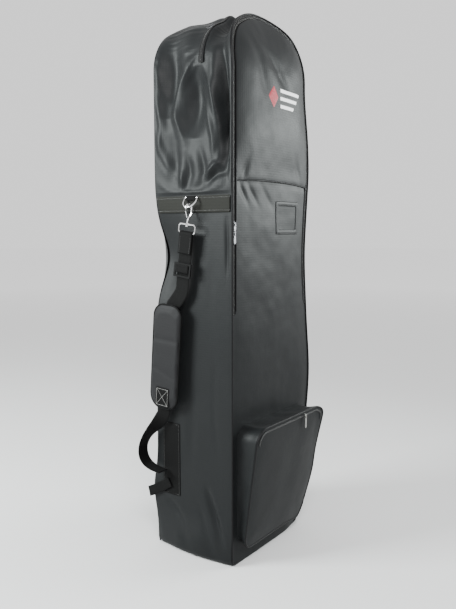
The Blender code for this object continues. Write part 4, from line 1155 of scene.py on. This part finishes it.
def make_upper_webbing():
    """From the pad up through the swivel eye, sewn back on itself below the eye."""
    sewn_to = 0.104
    profile = [(LAYER, sewn_to), (LAYER, 0.08), (LAYER, EYE_FOOT)]
    profile += [(a, 2 * EYE_FOOT - d) for a, d in half_turn(LAYER, 0.0, EYE_FOOT)]
    profile += [(-LAYER, EYE_FOOT), (-LAYER, 0.12), (-LAYER, 0.16)]
    drift = ((0.188, 0.0), (0.200, 0.004), (0.212, 0.011), (0.224, 0.019), (0.236, 0.026), (0.262, 0.032))
    profile += [(-LAYER, d, w) for d, w in drift]
    obj = ribbon("strap_upper", stations(profile), WEBBING_WIDTH, WEBBING, step=0.003)
    ride(obj, "strap", "strap", "webbing", "strap_upper_webbing")
    rows = smooth_line(stations([(LAYER, 0.066), (LAYER, 0.10)]), 0.003)
    for edge, sign in (("a", -1), ("b", 1)):
        line = rows[:, :3] + ACROSS * sign * (WEBBING_WIDTH / 2 - 0.004) + OUT * (WEBBING / 2 + 0.0001)
        ride(stitches(f"strap_upper_stitches_{edge}", line, OUT), "thread", "strap", "webbing")


def make_sewn_end():
    """The webbing's end, turned round the adjuster's bar."""
    middle, bar = 0.0006 + 0.0018, GLIDE_DOWN + 0.0028
    outer, inner = middle + LAYER, middle - LAYER
    profile = [(outer, GLIDE_DOWN - 0.013), (outer, bar), *half_turn(LAYER, middle, bar), (inner, bar),
               (inner, GLIDE_DOWN - 0.0075)]
    obj = ribbon("sewn_end", stations(profile), WEBBING_WIDTH, WEBBING, step=0.0015)
    ride(obj, "strap", "glide", "webbing", "strap_sewn_end")


def make_lower_webbing():
    """The slack loop from the pad's foot back to the patch: rows of a centre and the width's direction."""
    x = STRAP_TOP[0] + 0.0028
    route = (
        (x, 0.068, 0.392, 0, 1, 0.1), (x, 0.071, 0.362, 0, 1, 0.15),
        (x - 0.001, 0.079, 0.338, -0.25, 1, 0.45), (x - 0.003, 0.093, 0.316, -0.8, 0.75, 0.5),
        (x - 0.005, 0.112, 0.296, -1, 0.35, 0.3), (x - 0.006, 0.130, 0.274, -1, 0.1, 0.1),
        (x - 0.006, 0.141, 0.250, -1, 0, 0), (x - 0.006, 0.140, 0.227, -1, 0, 0),
        (x - 0.006, 0.128, 0.211, -1, 0, 0), (x - 0.006, 0.110, 0.203, -1, 0, 0),
        (x - 0.006, 0.092, 0.200, -1, 0, 0), (x - 0.006, 0.075, 0.199, -1, 0, 0),
    )
    obj = ribbon("strap_lower", route, WEBBING_WIDTH - 0.004, WEBBING, step=0.004)
    ride(obj, "strap", "strap", "webbing", "strap_lower_webbing")


def make_anchor():
    """The patch the strap's lower end is sewn to, and its loose tail."""
    low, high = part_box("lower_anchor_patch")
    y, z = np.meshgrid(np.linspace(low.y, high.y, 12), np.linspace(low.z, high.z, 26))
    x = -HALF_W - 0.0018 - 0.0008 * hump((y - low.y) / (high.y - low.y))
    obj = thicken(grid("anchor_patch", np.stack([x, y, z], axis=-1)[:, ::-1]), 0.0022)
    ride(obj, "strap", "case", "webbing", "lower_anchor_patch")
    inset = 0.004
    near, far, foot, top = low.y + inset, high.y - inset, low.z + inset, high.z - inset
    ring = ((near, foot), (far, foot), (far, top), (near, top), (near, foot))
    line = resample(np.array([(-HALF_W - 0.0021, a, b) for a, b in ring]), 0.003)
    ride(stitches("anchor_stitches", line, OUT), "thread", "case", "webbing")
    x = -HALF_W - 0.0004
    tail = (
        (x - 0.0062, 0.070, 0.168, 0, 0.5, 1), (x - 0.0062, 0.088, 0.156, 0, 0.5, 1),
        (x - 0.0066, 0.104, 0.146, 0, 0.55, 1), (x - 0.0075, 0.121, 0.137, 0.1, 0.6, 1),
        (x - 0.0090, 0.136, 0.130, 0.2, 0.65, 1),
    )
    ride(ribbon("loose_tail", tail, 0.025, WEBBING), "strap", "case", "webbing", "strap_tail")


def make_ring_tab():
    low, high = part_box("d_ring_tab")
    centre_y, width = (low.y + high.y) / 2, high.y - low.y
    bar = np.array(JOINTS["d_ring_tilt"]["pos_m"])
    radius = 0.0019 + 0.0004 + WEBBING / 2
    bend = turn(0.0, 0.0, radius, math.pi, 0.0, 9)[1:-1]
    fold = [(-radius, -0.034), (-radius, -0.015), (-radius, 0.0), *bend, (radius, 0.0), (radius, -0.006)]
    rows = [(bar[0] - a, centre_y, bar[2] + h, 0, 1, 0) for a, h in fold]
    ride(ribbon("ring_tab", rows, width, WEBBING, step=0.001), "strap", "case", "webbing", "d_ring_tab")


PAD_TOP, PAD_END = 0.228, 0.482
PAD_HALF = 0.043
PAD_MIDDLE = 0.006  # how far out the middle of its thickness is
PAD_START, PAD_FOOT = strap(-0.0004, PAD_TOP, 0.031), strap(-0.0004, PAD_END, 0.016)
PAD_DOWN = unit(PAD_FOOT - PAD_START)
PAD_ACROSS = unit(np.cross(PAD_DOWN, OUT))
PAD_LENGTH = np.linalg.norm(PAD_FOOT - PAD_START)


def pad_outline(inset, step=0.005):
    """The pad's outline: (across, down) rows."""
    low, high = 0.034 - inset, 0.030 - inset
    half, foot, top = PAD_HALF - inset, PAD_LENGTH - inset - low, inset + high
    return rounded(((half - low, foot, low, 0), (low - half, foot, low, 90), (high - half, top, high, 180),
                    (half - high, top, high, 270)), step, count=9)


def on_pad(flat, out):
    """Points of (across, down) rows, so far out."""
    return PAD_START + PAD_DOWN * flat[:, 1:] + PAD_ACROSS * flat[:, :1] + OUT * np.reshape(out, (-1, 1))


def make_cushion():
    """Two layers over foam, swelled by its filling and closed up towards its bound edge."""
    ring = pad_outline(0.0003)
    count = len(ring)
    faces = quads(2, count, wrap=True) + end_faces(2, count)
    pad = mesh_object("pad_cushion", np.vstack([on_pad(ring, 0.0030), on_pad(ring, 0.0090)]), faces)
    remesh = pad.modifiers.new("Remesh", "REMESH")
    remesh.mode = "VOXEL"
    remesh.voxel_size = 0.004
    pad.data = bpy.data.meshes.new_from_object(evaluated(pad))
    pad.modifiers.clear()
    points = mesh_points(pad.data)
    moved = simulate(pad, 14, 20.0, 0.3, pressure=3.0, gravity=0.0) - points
    moved += 0.7 * ((moved @ OUT)[:, None] * OUT - moved)  # the bound edge holds its sides
    points += limited(moved, 0.0030)
    local = points - PAD_START
    across, down, out = (local @ way for way in (PAD_ACROSS, PAD_DOWN, OUT))
    flat = np.column_stack([across, down])
    creased = 0.0012 * bell(down, 0.085, 0.006) + 0.0010 * bell(down + 0.3 * across, 0.165, 0.006)
    inside = np.min(np.linalg.norm(flat[:, None] - pad_outline(0.0, 0.002)[None], axis=-1), axis=1)
    closed = PAD_MIDDLE + (out - PAD_MIDDLE) * (0.35 + 0.65 * ramp(inside, 0.0, 0.0065))
    closed -= creased * (out > PAD_MIDDLE)
    points += OUT * (closed - out)[:, None]
    pad.data.vertices.foreach_set("co", points.astype(np.float32).ravel())
    pad.data.update()
    lay_map(pad.data, flat)
    subdivision = pad.modifiers.new("Subdivision", "SUBSURF")
    subdivision.levels = subdivision.render_levels = 1
    pad.data.shade_smooth()
    ride(pad, "pad", "strap", "nylon", "shoulder_pad")


def make_pad():
    """The shoulder pad with its bound edge, and the patch on its lower end with a crossed box of stitches."""
    make_cushion()
    binding = tube("pad_binding", on_pad(pad_outline(0.0015, 0.004), PAD_MIDDLE), 0.0022, closed=True)
    ride(binding, "strap", "strap", "webbing")
    near, far, half = 0.200, 0.248, 0.021
    a, b = np.meshgrid(np.linspace(-half, half, 9), np.linspace(near, far, 10))
    face = 0.0128 - 0.003 * (a / PAD_HALF) ** 2
    patch = grid("pad_patch", on_pad(np.column_stack([a.ravel(), b.ravel()]), face).reshape(10, 9, 3))
    ride(thicken(patch, WEBBING, offset=0.0), "strap", "strap", "webbing", "pad_end_patch")
    box = np.array(((-1, -1), (1, -1), (1, 1), (-1, 1), (-1, -1), (1, 1), (1, -1), (-1, 1)))
    box = box * 0.82 * (half, (far - near) / 2) + (0, (near + far) / 2)
    line = resample(on_pad(box, 0.0138), 0.003)
    ride(stitches("pad_patch_stitches", line, OUT, thick=0.0006), "light_thread", "strap", "webbing")


# ---------------------------------------------------- the CAD's own hardware, with better finishes
HARDWARE = {
    "nickel": ("pocket_slider", "pocket_pull"),
    "chrome": ("d_ring", "snap_hook", "hook_gate", "swivel_eye"),
    "dark_metal": ("front_slider_upper", "front_slider_lower", "front_pull_upper", "front_pull_lower",
                   "top_slider", "top_ring_pull"),
    "black_plastic": ("tri_glide",),
}


def finish_hardware():
    """Gives the CAD's own pieces that stay in view their material and slightly rounded edges."""
    for material, names in HARDWARE.items():
        for name in names:
            piece = frame["nodes"][name]
            piece.data.materials.clear()
            piece.data.materials.append(MATERIALS[material])
            bevel = piece.modifiers.new("Bevel", "BEVEL")
            bevel.width = 0.00018
            bevel.segments = 2
            bevel.angle_limit = math.radians(20)
            bevel.harden_normals = True


def save_sizes():
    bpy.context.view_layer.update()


make_camera()
make_studio()
for make in (make_gusset, make_front_cloth, make_hood, make_seam, make_base, make_board, make_back,
             make_piping, make_front_zip, make_top_zip, make_pocket, make_pocket_zip, make_card_window,
             make_emblem, make_bands, make_upper_webbing, make_sewn_end, make_lower_webbing, make_anchor,
             make_ring_tab, make_pad, finish_hardware, save_sizes):
    make()
